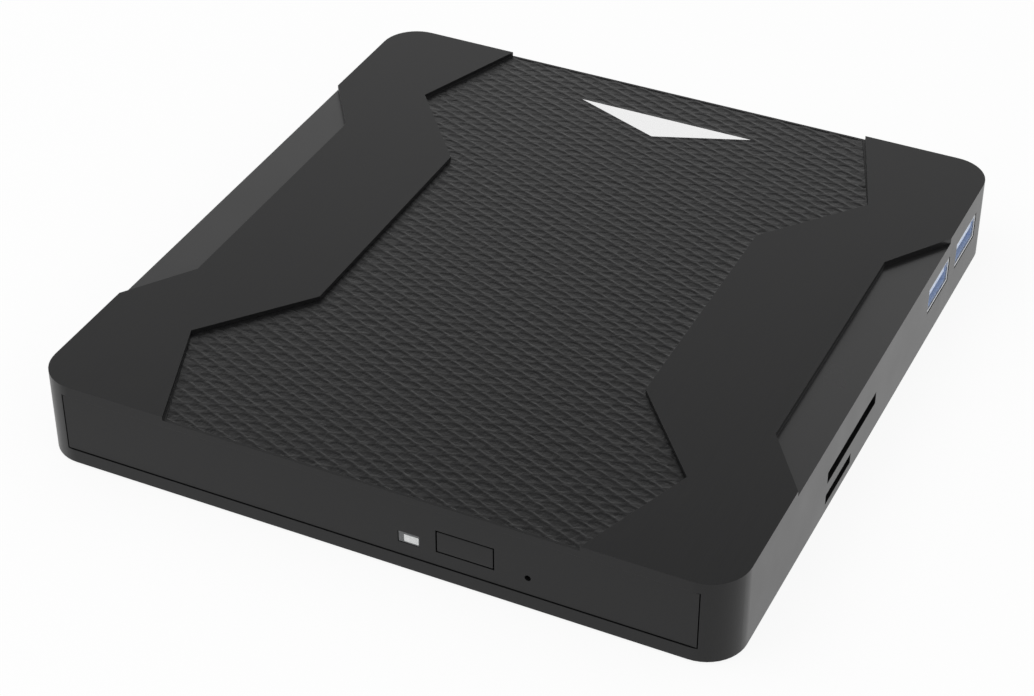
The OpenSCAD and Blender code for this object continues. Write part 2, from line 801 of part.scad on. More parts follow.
module usb_shell_front() { usb_shell(usb_front_y); }
module usb_tongue_front() { usb_tongue(usb_front_y); }
module usb_shell_rear() { usb_shell(usb_rear_y); }
module usb_tongue_rear() { usb_tongue(usb_rear_y); }

module sd_socket() {
    card_w = sd_w - 2 * card_step;
    color("#9fa2a6") difference() {
        block([socket_out - sd_l, -sd_front - sd_w / 2 - sd_wall, hub_top],
              [socket_out, -sd_front + sd_w / 2 + sd_wall, hub_top + sd_h]);
        block([socket_out - sd_l + 1.5, -sd_front - card_w / 2, sd_z - sd_slot_h / 2 + 0.15],
              [socket_out + over, -sd_front + card_w / 2, hub_top + sd_h - 0.2]);
    }
}

module tf_socket() {
    card_w = tf_w - 2 * card_step;
    color("#9fa2a6") difference() {
        block([socket_out - tf_l, -tf_front - tf_w / 2 - sd_wall, hub_z - tf_h],
              [socket_out, -tf_front + tf_w / 2 + sd_wall, hub_z]);
        block([socket_out - tf_l + 1.5, -tf_front - card_w / 2, hub_z - tf_h + 0.25],
              [socket_out + over, -tf_front + card_w / 2, hub_z - tf_h + 1.35]);
    }
}

module power_inlet() {
    back = inlet_out - inlet_l;
    color("#c9ccd0") difference() {
        inlet_slot(inlet_w, inlet_h, back, inlet_out);
        inlet_slot(inlet_w - 2 * usb_sheet, inlet_h - 2 * usb_sheet, back + 1, inlet_out + over);
    }
}

module power_inlet_tongue() {
    half = inlet_w / 2 - 1.3;
    half_t = 0.35;
    z = hub_top + inlet_h / 2;
    color("#17181a")
        block([inlet_x - half, inlet_out + 1 - inlet_l, z - half_t],
              [inlet_x + half, inlet_out - 0.8, z + half_t]);
}

// Flat ribbon in a long U from the main board to the tray
module tray_ribbon() {
    ribbon_w = 4;
    ribbon_t = 0.15;
    x = ledge_x - 13.4;
    low = pan_top + 0.1;
    bend_r = (tray_z - 0.4 - low) / 2;
    bend_y = latch_pivot[1] + 9;
    color("#d8c9a0") translate([x, 0, low + bend_r])
        rotate([90, 0, 90]) linear_extrude(ribbon_w) {
        translate([bend_y, -bend_r]) square([main_y[0] + 2 - bend_y, ribbon_t]);
        translate([bend_y, bend_r - ribbon_t]) square([main_y[0] - 6 - bend_y, ribbon_t]);
        translate([bend_y, 0]) difference() {
            circle(r = bend_r);
            circle(r = bend_r - ribbon_t);
            translate([0, -bend_r - over]) square(2 * bend_r + 2 * over);
        }
    }
}

// Sliding rails

module rail() {
    difference() {
        block([rail_in, rail_front, rail_z], [rail_out, rail_rear, rail_z + rail_h]);
        block([rail_in - over, rail_front - over, groove_z],
              [rail_in + groove_d, rail_rear + over, groove_z + groove_h]);
    }
}

module left_rail() { color("#cfd2d6") mirror([1, 0, 0]) rail(); }
module right_rail() { color("#cfd2d6") rail(); }

// Tray and what it carries

module tray_outline() {
    side_gap = 0.4;
    side_x = notch_x - sheet - side_gap;
    side_y = notch_y - sheet - side_gap;
    polygon([[-tray_half, tray_front], [tray_half, tray_front], [tray_half, side_y],
             [side_x, side_y], [side_x, tray_rear], [-tray_half, tray_rear]]);
}

// Opening over the pickup, grown or drawn in by a gap
module traverse_opening(gap, z, h) {
    in_traverse() translate([0, 0, z]) {
        cylinder(r = opening_r + gap, h = h);
        block([0, frame_v[0] - 0.2 - gap, 0], [frame_u[1] + 0.4 + gap, frame_v[1] + 0.2 + gap, h]);
    }
}

module tray() {
    ear_z = frame_top + grommet_lip;
    root = tray_t / 2;
    color("#2a2b2e") difference() {
        union() {
            translate([0, 0, tray_z]) linear_extrude(tray_t) tray_outline();
            translate([0, 0, tray_z]) linear_extrude(tray_t + rim_h) difference() {
                tray_outline();
                translate([0, disc_y]) circle(d = recess_d);
            }
            for (side = [0, 1])
                mirror([side, 0, 0])
                    block([tray_half - over, rail_front, tongue_z],
                          [tongue_out, rail_rear, tongue_z + tongue_t]);
            at_each([for (p = front_posts) [p[0], front_board_y + p[1]]], front_board_top)
                cylinder(d = post_d, h = tray_z - front_board_top + root);
            in_traverse() at_each(ears, ear_z) cylinder(d = post_d, h = tray_z - ear_z + root);
            translate([latch_pivot[0], latch_pivot[1], latch_z - 0.2]) {
                cylinder(d = pivot_d, h = tray_z - latch_z);
                translate([0, 0, latch_h + 0.3]) cylinder(d = 2 * pivot_d, h = tray_z - latch_z - latch_h);
            }
        }
        traverse_opening(0.25, tray_z - over, tray_t + 2 * over);
        in_traverse() at_each(ears, frame_top - over)
            cylinder(d = small_screw_d + 2 * hole_fit, h = over + 2.4);
    }
}

module tray_bezel() {
    hole_w = button_w + 2 * button_gap;
    hole_h = button_h + 2 * button_gap;
    color("#2b2c2f") intersection() {
        case_outline(0, top_z);
        difference() {
            block([-bezel_w / 2, bezel_front, bezel_z], [bezel_w / 2, tray_front, bezel_top]);
            block([button_x - hole_w / 2, bezel_front - over, button_z - hole_h / 2],
                  [button_x + hole_w / 2, tray_front + over, button_z + hole_h / 2]);
            block([lens_x - lens_w / 2 - hole_fit, bezel_front - over, status_z - lens_h / 2 - hole_fit],
                  [lens_x + lens_w / 2 + hole_fit, tray_front + over, status_z + lens_h / 2 + hole_fit]);
            translate([pinhole_x, bezel_front - over, pinhole_z])
                rotate([-90, 0, 0]) cylinder(d = pinhole_d, h = bezel_t + 2 * over);
        }
    }
}

module status_lens() {
    color("#d5d8da") block([lens_x - lens_w / 2, bezel_front + lens_inset, status_z - lens_h / 2],
                           [lens_x + lens_w / 2, tray_front + 0.8, status_z + lens_h / 2]);
}

module front_board() {
    color("#1f5a3a") block([front_board_x[0], front_board_y, front_board_z],
                           [front_board_x[1], front_board_y + front_board_d, front_board_top]);
}

module eject_switch() {
    body_w = 4.8;
    body_d = 3.4;
    tip_y = stem_y + button_travel + 0.08;
    tip_l = 0.3;
    tip_h = 1.4;
    color("#c8c8c4") {
        block([button_x - body_w / 2, tip_y + tip_l, front_board_top],
              [button_x + body_w / 2, tip_y + tip_l + body_d, front_board_top + 2.7]);
        block([button_x - body_w / 4, tip_y, stem_z - tip_h / 2],
              [button_x + body_w / 4, tip_y + 2 * tip_l, stem_z + tip_h / 2]);
    }
}

module status_light() {
    color("#f1f1e6") block([lens_x - 1, front_board_y + 0.1, front_board_top],
                           [lens_x + 1, front_board_y + 1.4, front_board_top + 1.2]);
}

module eject_magnet() {
    low = tray_z - 3.6;
    x = [latch_pivot[0] - 17.5, latch_pivot[0] - 7.5];
    y = [latch_pivot[1] - 4.5, latch_pivot[1] + 4.5];
    color("#7a3f28") block([x[0] + 1, y[0], low + 0.4], [x[1] - 1, y[1], tray_z - 0.4]);
    color("#8e9196") {
        block([x[0], y[0] + 1, low], [x[0] + 0.9, y[1] - 1, tray_z]);
        block([x[1] - 0.9, y[0] + 1, low], [x[1], y[1] - 1, tray_z]);
        block([x[0], y[0] + 1, tray_z - 0.35], [x[1], y[1] - 1, tray_z]);
    }
}

module traverse_frame() {
    screw_tab = [lead_offset - 1.6, lead_offset + 2.4];
    tab_z = frame_top - tab_root;
    tab_half = 1.7;
    arm = ear_d / 2;
    arms = [[[ears[0][0] - arm, ears[0][1]], [ears[0][0] + arm, frame_v[0] + over]],
            [[ears[1][0] - arm, frame_v[1] - over], [ears[1][0] + arm, ears[1][1]]],
            [[ears[2][0], -arm], [frame_u[0] + over, arm]]];
    color("#a6a9ad") in_traverse() difference() {
        union() {
            block([frame_u[0], frame_v[0], frame_z], [frame_u[1], frame_v[1], frame_top]);
            at_each(ears, frame_z) cylinder(d = ear_d, h = frame_t);
            for (a = arms) block([a[0][0], a[0][1], frame_z], [a[1][0], a[1][1], frame_top]);
            for (u = tab_u, side = [-1, 1])
                block([u, side * rod_offset - tab_half, tab_z],
                      [u + tab_t, side * rod_offset + tab_half, axis_z + tab_h]);
            block([tab_u[0] + 0.3, screw_tab[0], tab_z], [tab_u[0] + 1.1, screw_tab[1], axis_z + tab_h]);
            block([motor_u - 1, screw_tab[0], tab_z], [motor_u, screw_tab[1], axis_z + tab_h]);
            at_each(shield_posts, tab_z) cylinder(d = 1.8, h = shield_z - tab_z);
        }
        block([window_u[0], -sled_w / 2 - sled_gap, frame_z - over],
              [window_u[1], sled_w / 2 + sled_gap, frame_top + over]);
        translate([0, 0, frame_z - over]) cylinder(r = spindle_foot_r + 2 * hole_fit, h = frame_t + 2 * over);
        at_each(ears, frame_z - over) cylinder(r = grommet_r + hole_fit, h = frame_t + 2 * over);
        for (side = [-1, 1])
            translate([tab_u[0] - over, side * rod_offset, axis_z])
                rotate([0, 90, 0]) cylinder(d = rod_d + 2 * hole_fit, h = tab_u[1] - tab_u[0] + 10);
        translate([tab_u[0] - over, lead_offset, axis_z])
            rotate([0, 90, 0]) cylinder(d = lead_d + 2 * shaft_fit, h = motor_u - tab_u[0] + 2 * over);
        block([motor_u, lead_offset - sled_motor_d / 2 - motor_gap, frame_z - over],
              [motor_u + motor_l + motor_gap, lead_offset + sled_motor_d / 2 + motor_gap, frame_top + over]);
    }
}

module traverse_cover() {
    slot_half = 7;
    color("#54575c") difference() {
        traverse_opening(0, shield_z, cover_t);
        in_traverse() {
            translate([0, 0, shield_z - over]) cylinder(d = turntable_d + 1, h = cover_t + 2 * over);
            block([opening_r - 6, -slot_half, shield_z - over], [window_u[1], slot_half, deck_z + over]);
        }
    }
}

module guide_rods() {
    color("#d2d5d8") in_traverse() for (side = [-1, 1])
        translate([tab_u[0] + 0.1, side * rod_offset, axis_z])
            rotate([0, 90, 0]) cylinder(d = rod_d, h = tab_u[1] + tab_t - tab_u[0] - 0.2);
}

module damper_grommets() {
    color("#6b3d52") in_traverse() at_each(ears, frame_z - grommet_lip) difference() {
        union() {
            cylinder(d = grommet_d, h = grommet_lip);
            cylinder(r = grommet_r, h = frame_t + 2 * grommet_lip);
            translate([0, 0, frame_t + grommet_lip]) cylinder(d = grommet_d, h = grommet_lip);
        }
        translate([0, 0, -over]) cylinder(d = small_screw_d + 2 * hole_fit, h = frame_t + 4 * over);
    }
}

module traverse_screws() {
    small_head_h = 0.5;
    bite = 2;
    color("#a9abad") in_traverse() at_each(ears, frame_z - grommet_lip - small_head_h)
        screw_up(small_screw_d, frame_t + 2 * grommet_lip + bite, grommet_d - 2, small_head_h);
}

module spindle_motor() {
    top = shield_z - 0.5;
    color("#7d8186") in_traverse() difference() {
        union() {
            translate([0, 0, frame_z - 0.4]) cylinder(r = spindle_foot_r, h = frame_t + 0.4);
            translate([0, 0, frame_top]) cylinder(r = flange_r, h = flange_t);
            translate([0, 0, frame_top]) cylinder(r = spindle_r, h = top - frame_top);
        }
        translate([0, 0, frame_z]) cylinder(d = shaft_d + 2 * shaft_fit, h = top);
    }
}

module sled_motor() {
    color("#b4b7ba") in_traverse() translate([motor_u, lead_offset, axis_z]) rotate([0, 90, 0])
        difference() {
            cylinder(d = sled_motor_d, h = motor_l);
            translate([0, 0, -over]) cylinder(d = lead_d + 2 * shaft_fit, h = 3 + over);
        }
}

module eject_button() {
    color("#303134") intersection() {
        case_outline(0, top_z);
        union() {
            block([button_x - button_w / 2, bezel_front, button_z - button_h / 2],
                  [button_x + button_w / 2, bezel_front + button_t, button_z + button_h / 2]);
            block([button_x - stem_w / 2, bezel_front + button_t / 2, stem_z - stem_h / 2],
                  [button_x + stem_w / 2, stem_y, stem_z + stem_h / 2]);
        }
    }
}

// Lever that hooks behind the latch pin, shown turned free of it
module latch_lever() {
    reach = latch_pin - latch_pivot;
    hook_y = reach[1] + pin_d / 2 + 0.3;
    arm_x = reach[0] + pin_d / 2 + 0.7;
    arm_w = 2;
    hook_w = 1.6;
    hub_r = 2.2;
    tail_w = 1.8;
    tail_l = 6;
    end_y = hook_y + hook_w;
    color("#d9d6c8") translate([latch_pivot[0], latch_pivot[1], latch_z]) rotate(-latch_release)
        difference() {
            union() {
                cylinder(r = hub_r, h = latch_h);
                linear_extrude(latch_h)
                    polygon([[-hub_r, 0], [hub_r, 0], [arm_x + arm_w, end_y], [arm_x, end_y]]);
                block([reach[0] - pin_d / 2 - 0.2, hook_y, 0], [arm_x + arm_w / 2, end_y, latch_h]);
                block([-tail_l, -tail_w / 2, 0], [0, tail_w / 2, latch_h]);
            }
            translate([0, 0, -over]) cylinder(d = pivot_d + 2 * shaft_fit, h = latch_h + 2 * over);
        }
}

// Spindle

module turntable() {
    low = seat_z - mat_t - table_t;
    slot_w = claw_w + 2 * claw_play;
    slot_h = claw_h + 2 * claw_play;
    color("#3a3b3e") translate([0, disc_y, 0]) difference() {
        union() {
            translate([0, 0, frame_z + 0.1]) cylinder(d = shaft_d, h = seat_z - frame_z);
            translate([0, 0, low]) cylinder(d = turntable_d, h = table_t);
            translate([0, 0, low]) cylinder(d = hub_d, h = table_t + mat_t + hub_h);
        }
        for (i = [0:2])
            rotate(traverse_angle + 60 + 120 * i)
                block([hub_d / 2 - 3, -slot_w / 2, claw_z - slot_h / 2],
                      [hub_d, slot_w / 2, claw_z + slot_h / 2]);
    }
}

module turntable_mat() {
    color("#1c1c1d") translate([0, disc_y, seat_z - mat_t]) difference() {
        cylinder(d = turntable_d - 0.6, h = mat_t);
        translate([0, 0, -over]) cylinder(d = hub_d + 2.4, h = mat_t + 2 * over);
    }
}

// Claw that springs out of the hub and holds the disc
module hub_claw(i) {
    tip = hub_d / 2 + claw_reach;
    color("#e4e2d8") translate([0, disc_y, claw_z - claw_h / 2]) rotate(traverse_angle + 60 + 120 * i)
        intersection() {
            block([hub_d / 2 - 2.4, -claw_w / 2, 0], [tip, claw_w / 2, claw_h]);
            cylinder(r = tip, h = claw_h);
        }
}

module hub_claw_1() { hub_claw(0); }
module hub_claw_2() { hub_claw(1); }
module hub_claw_3() { hub_claw(2); }

// Pickup

module lead_screw() {
    start = tab_u[0] + 0.4;
    core = lead_d - 0.4;
    pitch = 1.5;
    turns = floor((motor_u - 1.4 - tab_u[0] - 1.6) / pitch);
    color("#d2d5d8") in_traverse() translate([start, lead_offset, axis_z]) rotate([0, 90, 0]) {
        cylinder(d = core, h = motor_u + 2.6 - start);
        for (i = [0:turns - 1]) translate([0, 0, 1.1 + i * pitch]) cylinder(d = lead_d, h = pitch * 0.6);
    }
}

module pickup_sled() {
    u = [pickup_r - sled_back, pickup_r + sled_front];
    wing_z = frame_top + 0.3;
    pocket = [4.3, 5.3];
    color("#5d6066") in_traverse() difference() {
        union() {
            block([u[0], -sled_w / 2, sled_z], [u[1], sled_w / 2, sled_top]);
            block([u[0], -sled_wing, wing_z], [u[1], sled_wing, axis_z + 1.5]);
        }
        for (side = [-1, 1])
            translate([u[0] - over, side * rod_offset, axis_z])
                rotate([0, 90, 0]) cylinder(d = rod_d + 2 * shaft_fit, h = u[1] - u[0] + 2 * over);
        block([pickup_r - pocket[0], -pocket[1], pocket_floor],
              [pickup_r + pocket[0], pocket[1], sled_top + over]);
    }
}

module sled_nut() {
    u = pickup_r - sled_back + 1;
    nut_l = 4;
    color("#e4e2d8") in_traverse() difference() {
        block([u, sled_wing, frame_top + 0.4], [u + nut_l, lead_offset + 1.7, axis_z + 1.4]);
        translate([u - over, lead_offset, axis_z])
            rotate([0, 90, 0]) cylinder(d = lead_d + 2 * shaft_fit, h = nut_l + 2 * over);
    }
}

module lens_holder() {
    half = [3.9, 4.9];
    low = pocket_floor + focus_travel + 2 * hole_fit;
    color("#2d2e31") in_traverse() difference() {
        block([pickup_r - half[0], -half[1], low], [pickup_r + half[0], half[1], lens_top]);
        translate([pickup_r, 0, lens_top - lens_t])
            cylinder(d = objective_d + 2 * hole_fit, h = lens_t + over);
    }
}

module objective_lens() {
    rise = 0.25;
    dome_r = (pow(objective_d / 2 - 0.2, 2) + rise * rise) / (2 * rise);
    color("#9fc6d8") in_traverse() translate([pickup_r, 0, 0]) {
        translate([0, 0, lens_top - lens_t]) cylinder(d = objective_d, h = lens_t);
        intersection() {
            translate([0, 0, lens_top + rise - dome_r]) sphere(r = dome_r);
            translate([0, 0, lens_top - lens_t / 2]) cylinder(d = objective_d, h = lens_t);
        }
    }
}

top_cover();
ripple_panel();
triangle_inlay();
bottom_cover();
rubber_feet();
case_screws();
drive_chassis();
drive_cover();
drive_screws();
left_guide();
right_guide();
latch_pin_post();
main_board();
main_board_chips();
main_board_screws();
drive_connector();
bridge_connector();
hub_board();
hub_board_chips();
hub_board_screws();
usb_shell_front();
usb_tongue_front();
usb_shell_rear();
usb_tongue_rear();
sd_socket();
tf_socket();
power_inlet();
power_inlet_tongue();
tray_ribbon();
left_rail();
right_rail();
tray();
tray_bezel();
status_lens();
front_board();
eject_switch();
status_light();
eject_magnet();
traverse_frame();
traverse_cover();
guide_rods();
damper_grommets();
traverse_screws();
spindle_motor();
sled_motor();
eject_button();
latch_lever();
turntable();
turntable_mat();
hub_claw_1();
hub_claw_2();
hub_claw_3();
lead_screw();
pickup_sled();
sled_nut();
lens_holder();
objective_lens();
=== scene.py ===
# Slim external disc drive with two card slots and two port sockets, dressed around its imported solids.
# Metres, +Z up. The tray opens towards -Y and the ports are on the +X side.
import json
import math

import bpy
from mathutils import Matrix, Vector
from mathutils.geometry import intersect_point_line

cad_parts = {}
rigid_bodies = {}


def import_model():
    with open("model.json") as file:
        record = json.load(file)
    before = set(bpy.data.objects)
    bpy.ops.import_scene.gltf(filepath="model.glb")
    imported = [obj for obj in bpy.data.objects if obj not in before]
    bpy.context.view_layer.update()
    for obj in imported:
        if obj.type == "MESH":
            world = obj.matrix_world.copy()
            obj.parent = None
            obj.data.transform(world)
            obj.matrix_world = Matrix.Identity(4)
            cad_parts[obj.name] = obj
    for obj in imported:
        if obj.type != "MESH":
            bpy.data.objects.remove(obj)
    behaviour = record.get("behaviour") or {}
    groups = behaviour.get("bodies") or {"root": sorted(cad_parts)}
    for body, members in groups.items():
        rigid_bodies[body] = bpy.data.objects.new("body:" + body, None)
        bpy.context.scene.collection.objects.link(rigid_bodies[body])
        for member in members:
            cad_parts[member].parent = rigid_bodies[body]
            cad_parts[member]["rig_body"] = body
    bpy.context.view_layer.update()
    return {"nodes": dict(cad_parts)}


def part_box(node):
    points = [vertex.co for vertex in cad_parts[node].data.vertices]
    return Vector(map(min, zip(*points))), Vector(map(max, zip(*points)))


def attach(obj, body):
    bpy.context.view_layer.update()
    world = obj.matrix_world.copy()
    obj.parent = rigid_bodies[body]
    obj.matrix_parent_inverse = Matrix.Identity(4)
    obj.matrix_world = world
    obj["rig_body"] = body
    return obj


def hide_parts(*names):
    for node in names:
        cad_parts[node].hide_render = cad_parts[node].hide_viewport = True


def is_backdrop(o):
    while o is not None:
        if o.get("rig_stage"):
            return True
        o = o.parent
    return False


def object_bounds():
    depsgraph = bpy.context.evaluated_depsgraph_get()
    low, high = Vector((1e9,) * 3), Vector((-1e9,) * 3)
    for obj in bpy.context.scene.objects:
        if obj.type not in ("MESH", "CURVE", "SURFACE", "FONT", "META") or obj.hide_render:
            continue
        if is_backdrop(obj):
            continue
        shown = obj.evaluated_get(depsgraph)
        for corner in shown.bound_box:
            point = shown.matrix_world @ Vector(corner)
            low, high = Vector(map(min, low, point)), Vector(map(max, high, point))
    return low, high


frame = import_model()
bpy.ops.object.select_all(action="DESELECT")

# Studio
# A white table between white walls, under a greyer ceiling, as for a catalogue picture. The camera stands
# above and to the right of the front edge, with a long lens.
camera_place = Vector((0.17246, -0.37255, 0.30054))
camera_aim = Vector((0.00229, -0.01629, 0.00959))
camera_turn = (camera_aim - camera_place).to_track_quat("-Z", "Y").to_euler()
bpy.ops.object.camera_add(location=camera_place, rotation=camera_turn)
camera = bpy.context.object
camera.data.lens = 86.66
camera.data.sensor_width = 36
camera.data.clip_start = 0.01
bpy.context.scene.camera = camera
bpy.context.scene.view_settings.view_transform = "Standard"


def seen_directly(tree):
    """A 0 to 1 output: 1 where the camera, a reflection or glass looks, 0 for light that scatters."""
    path = tree.nodes.new("ShaderNodeLightPath")
    either = tree.nodes.new("ShaderNodeMath")
    either.operation = "ADD"
    either.use_clamp = True
    tree.links.new(path.outputs["Is Camera Ray"], either.inputs[0])
    tree.links.new(path.outputs["Is Glossy Ray"], either.inputs[1])
    every = tree.nodes.new("ShaderNodeMath")
    every.operation = "ADD"
    every.use_clamp = True
    tree.links.new(either.outputs[0], every.inputs[0])
    tree.links.new(path.outputs["Is Transmission Ray"], every.inputs[1])
    return every.outputs[0]


surround_light = 0.75
ceiling_light = 0.35
wall_top = 0.5
ceiling_start = 0.75
surround = bpy.data.worlds.new("white_surround")
surround.use_nodes = True
bpy.context.scene.world = surround
surround_tree = surround.node_tree
surround_glow = surround_tree.nodes["Background"]
surround_glow.inputs["Color"].default_value = (1, 1, 1, 1)
surround_strength = surround_tree.nodes.new("ShaderNodeMapRange")
surround_strength.inputs["To Min"].default_value = surround_light
surround_ways = surround_tree.nodes.new("ShaderNodeTexCoord")
surround_height = surround_tree.nodes.new("ShaderNodeSeparateXYZ")
surround_fade = surround_tree.nodes.new("ShaderNodeMapRange")
surround_fade.inputs["From Min"].default_value = wall_top
surround_fade.inputs["From Max"].default_value = ceiling_start
surround_fade.inputs["To Min"].default_value = 1
surround_fade.inputs["To Max"].default_value = ceiling_light
surround_tree.links.new(surround_ways.outputs["Generated"], surround_height.inputs["Vector"])
surround_tree.links.new(surround_height.outputs["Z"], surround_fade.inputs["Value"])
surround_tree.links.new(surround_fade.outputs["Result"], surround_strength.inputs["To Max"])
surround_tree.links.new(seen_directly(surround_tree), surround_strength.inputs["Value"])
surround_tree.links.new(surround_strength.outputs["Result"], surround_glow.inputs["Strength"])

table_span = 6
table_white = (0.86, 0.86, 0.86, 1)
table_glow = 0.9
bpy.ops.mesh.primitive_plane_add(size=table_span)
table = bpy.context.object
table.name = "table_top"
table_paint = bpy.data.materials.new("white_table")
table_paint.use_nodes = True
table_tree = table_paint.node_tree
table_matt = table_tree.nodes["Principled BSDF"]
table_matt.inputs["Base Color"].default_value = table_white
table_matt.inputs["Roughness"].default_value = 0.9
table_matt.inputs["Specular IOR Level"].default_value = 0
table_light = table_tree.nodes.new("ShaderNodeEmission")
table_mix = table_tree.nodes.new("ShaderNodeMixShader")
table_share = table_tree.nodes.new("ShaderNodeMath")
table_share.operation = "MULTIPLY"
table_share.inputs[1].default_value = table_glow
table_tree.links.new(seen_directly(table_tree), table_share.inputs[0])
table_tree.links.new(table_share.outputs[0], table_mix.inputs["Fac"])
table_tree.links.new(table_matt.outputs[0], table_mix.inputs[1])
table_tree.links.new(table_light.outputs[0], table_mix.inputs[2])
table_tree.links.new(table_mix.outputs[0], table_tree.nodes["Material Output"].inputs["Surface"])
table.data.materials.append(table_paint)
table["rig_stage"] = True


def soft_lamp(name, place, size, power):
    """A square soft box that faces the middle of the object."""
    turn = (Vector((0, 0, 0)) - Vector(place)).to_track_quat("-Z", "Y").to_euler()
    bpy.ops.object.light_add(type="AREA", location=place, rotation=turn)
    lamp = bpy.context.object
    lamp.name = name
    lamp.data.size = size
    lamp.data.energy = power


soft_lamp("key_box", place=(-0.5, -0.35, 1.0), size=0.9, power=4)
soft_lamp("fill_box", place=(0.9, -0.5, 0.7), size=0.8, power=1.5)

# Bottom cover
# A flat plate of black ABS with posts for the drive and the hub board, moulded in one shot. It drops into
# the top cover and four screws hold it.


def select_only(piece):
    """Makes one object the selected and active one."""
    bpy.ops.object.select_all(action="DESELECT")
    piece.select_set(True)
    bpy.context.view_layer.objects.active = piece


def merged_copy(name):
    """A copy of a CAD node with its triangles merged into whole faces, which stands for that node."""
    node = frame["nodes"][name]
    piece = bpy.data.objects.new(name + "_finished", node.data.copy())
    bpy.context.scene.collection.objects.link(piece)
    select_only(piece)
    bpy.ops.mesh.customdata_custom_splitnormals_clear()
    bpy.ops.object.mode_set(mode="EDIT")
    bpy.ops.mesh.select_all(action="SELECT")
    bpy.ops.mesh.remove_doubles(threshold=2e-6)
    bpy.ops.mesh.dissolve_limited(angle_limit=math.radians(0.4))
    bpy.ops.object.mode_set(mode="OBJECT")
    piece.data.materials.clear()
    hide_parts(name)
    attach(piece, node["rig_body"])
    return piece


def ease_edges(piece, width, steps=2):
    """Rounds every sharp edge of a piece a little, as a mould or a press leaves it."""
    select_only(piece)
    ease = piece.modifiers.new("eased_edges", "BEVEL")
    ease.width = width
    ease.segments = steps
    ease.limit_method = "ANGLE"
    ease.angle_limit = math.radians(40)
    ease.use_clamp_overlap = True
    bpy.ops.object.modifier_apply(modifier=ease.name)
    bpy.ops.object.shade_smooth_by_angle(angle=math.radians(35))
    flat = piece.modifiers.new("flat_faces", "WEIGHTED_NORMAL")
    flat.weight = 100
    flat.keep_sharp = True
    bpy.ops.object.modifier_apply(modifier=flat.name)


def grain(tree, size, detail=2, stretch=(1, 1, 1)):
    """A noise on the piece's own coordinates whose features measure about size metres."""
    place = tree.nodes.new("ShaderNodeTexCoord")
    scale = tree.nodes.new("ShaderNodeMapping")
    scale.inputs["Scale"].default_value = stretch
    noise = tree.nodes.new("ShaderNodeTexNoise")
    noise.inputs["Scale"].default_value = 1 / size
    noise.inputs["Detail"].default_value = detail
    tree.links.new(place.outputs["Object"], scale.inputs["Vector"])
    tree.links.new(scale.outputs["Vector"], noise.inputs["Vector"])
    return noise.outputs["Fac"]


noise_low = 0.3
noise_high = 0.7


def between(tree, value, low, high):
    """Spreads a 0 to 1 noise, which keeps to its middle, between two numbers."""
    spread = tree.nodes.new("ShaderNodeMapRange")
    spread.inputs["From Min"].default_value = noise_low
    spread.inputs["From Max"].default_value = noise_high
    spread.inputs["To Min"].default_value = low
    spread.inputs["To Max"].default_value = high
    tree.links.new(value, spread.inputs["Value"])
    return spread.outputs["Result"]


def tones(tree, value, dark, light):
    """Runs a 0 to 1 value from a dark to a light tone of one colour."""
    ramp = tree.nodes.new("ShaderNodeValToRGB")
    ramp.color_ramp.elements[0].position = noise_low
    ramp.color_ramp.elements[0].color = (*dark, 1)
    ramp.color_ramp.elements[1].position = noise_high
    ramp.color_ramp.elements[1].color = (*light, 1)
    tree.links.new(value, ramp.inputs["Fac"])
    return ramp.outputs["Color"]


def relief(tree, value, depth):
    """A surface normal from a height, depth metres from its lowest to its highest."""
    bump = tree.nodes.new("ShaderNodeBump")
    bump.inputs["Strength"].default_value = 1
    bump.inputs["Distance"].default_value = depth
    tree.links.new(value, bump.inputs["Height"])
    return bump.outputs["Normal"]


def finish(name, specular=0.5, metallic=0.0):
    """A new material: its node tree and its shader."""
    material = bpy.data.materials.new(name)
    material.use_nodes = True
    shader = material.node_tree.nodes["Principled BSDF"]
    shader.inputs["Specular IOR Level"].default_value = specular
    shader.inputs["Metallic"].default_value = metallic
    return material, material.node_tree, shader


def moulded(name, dark, light, rough, grain_size=0.00025, depth=0.000008, specular=0.32, lacquer=0.0):
    """Moulded plastic: a fine spark-eroded grain, with a faint cloudiness of the gloss."""
    material, tree, shader = finish(name, specular)
    shader.inputs["Coat Weight"].default_value = lacquer
    shader.inputs["Coat Roughness"].default_value = 0.3
    speck = grain(tree, grain_size)
    cloud = grain(tree, size=0.012, detail=3)
    drift = 0.03
    tree.links.new(tones(tree, speck, dark, light), shader.inputs["Base Color"])
    tree.links.new(between(tree, cloud, rough - drift, rough + drift), shader.inputs["Roughness"])
    tree.links.new(relief(tree, speck, depth), shader.inputs["Normal"])
    return material


case_dark = (0.0045, 0.0045, 0.0048)
case_light = (0.007, 0.007, 0.0074)
base_plastic = moulded("base_plastic", case_dark, case_light, rough=0.5)
base = merged_copy("bottom_cover")
ease_edges(base, width=0.00025)
base.data.materials.append(base_plastic)

# Rubber feet
# Four soft discs, stamped from rubber sheet and glued into shallow seats in the bottom cover.


def dress(name, material):
    """Gives a CAD node its finish."""
    for place in frame["nodes"][name].material_slots:
        place.material = material


def rubber(name, dark, light):
    """Rubber: matt, with a fine dusty speckle."""
    material, tree, shader = finish(name, specular=0.25)
    speck = grain(tree, size=0.00035, detail=4)
    tree.links.new(tones(tree, speck, dark, light), shader.inputs["Base Color"])
    tree.links.new(between(tree, speck, low=0.72, high=0.85), shader.inputs["Roughness"])
    tree.links.new(relief(tree, speck, depth=0.00002), shader.inputs["Normal"])
    return material


dress("rubber_feet", rubber("foot_rubber", (0.014, 0.014, 0.014), (0.024, 0.024, 0.024)))

# Screws of the case and the drive
# Pan-head machine screws of steel, blackened outside the case and zinc plated inside it.


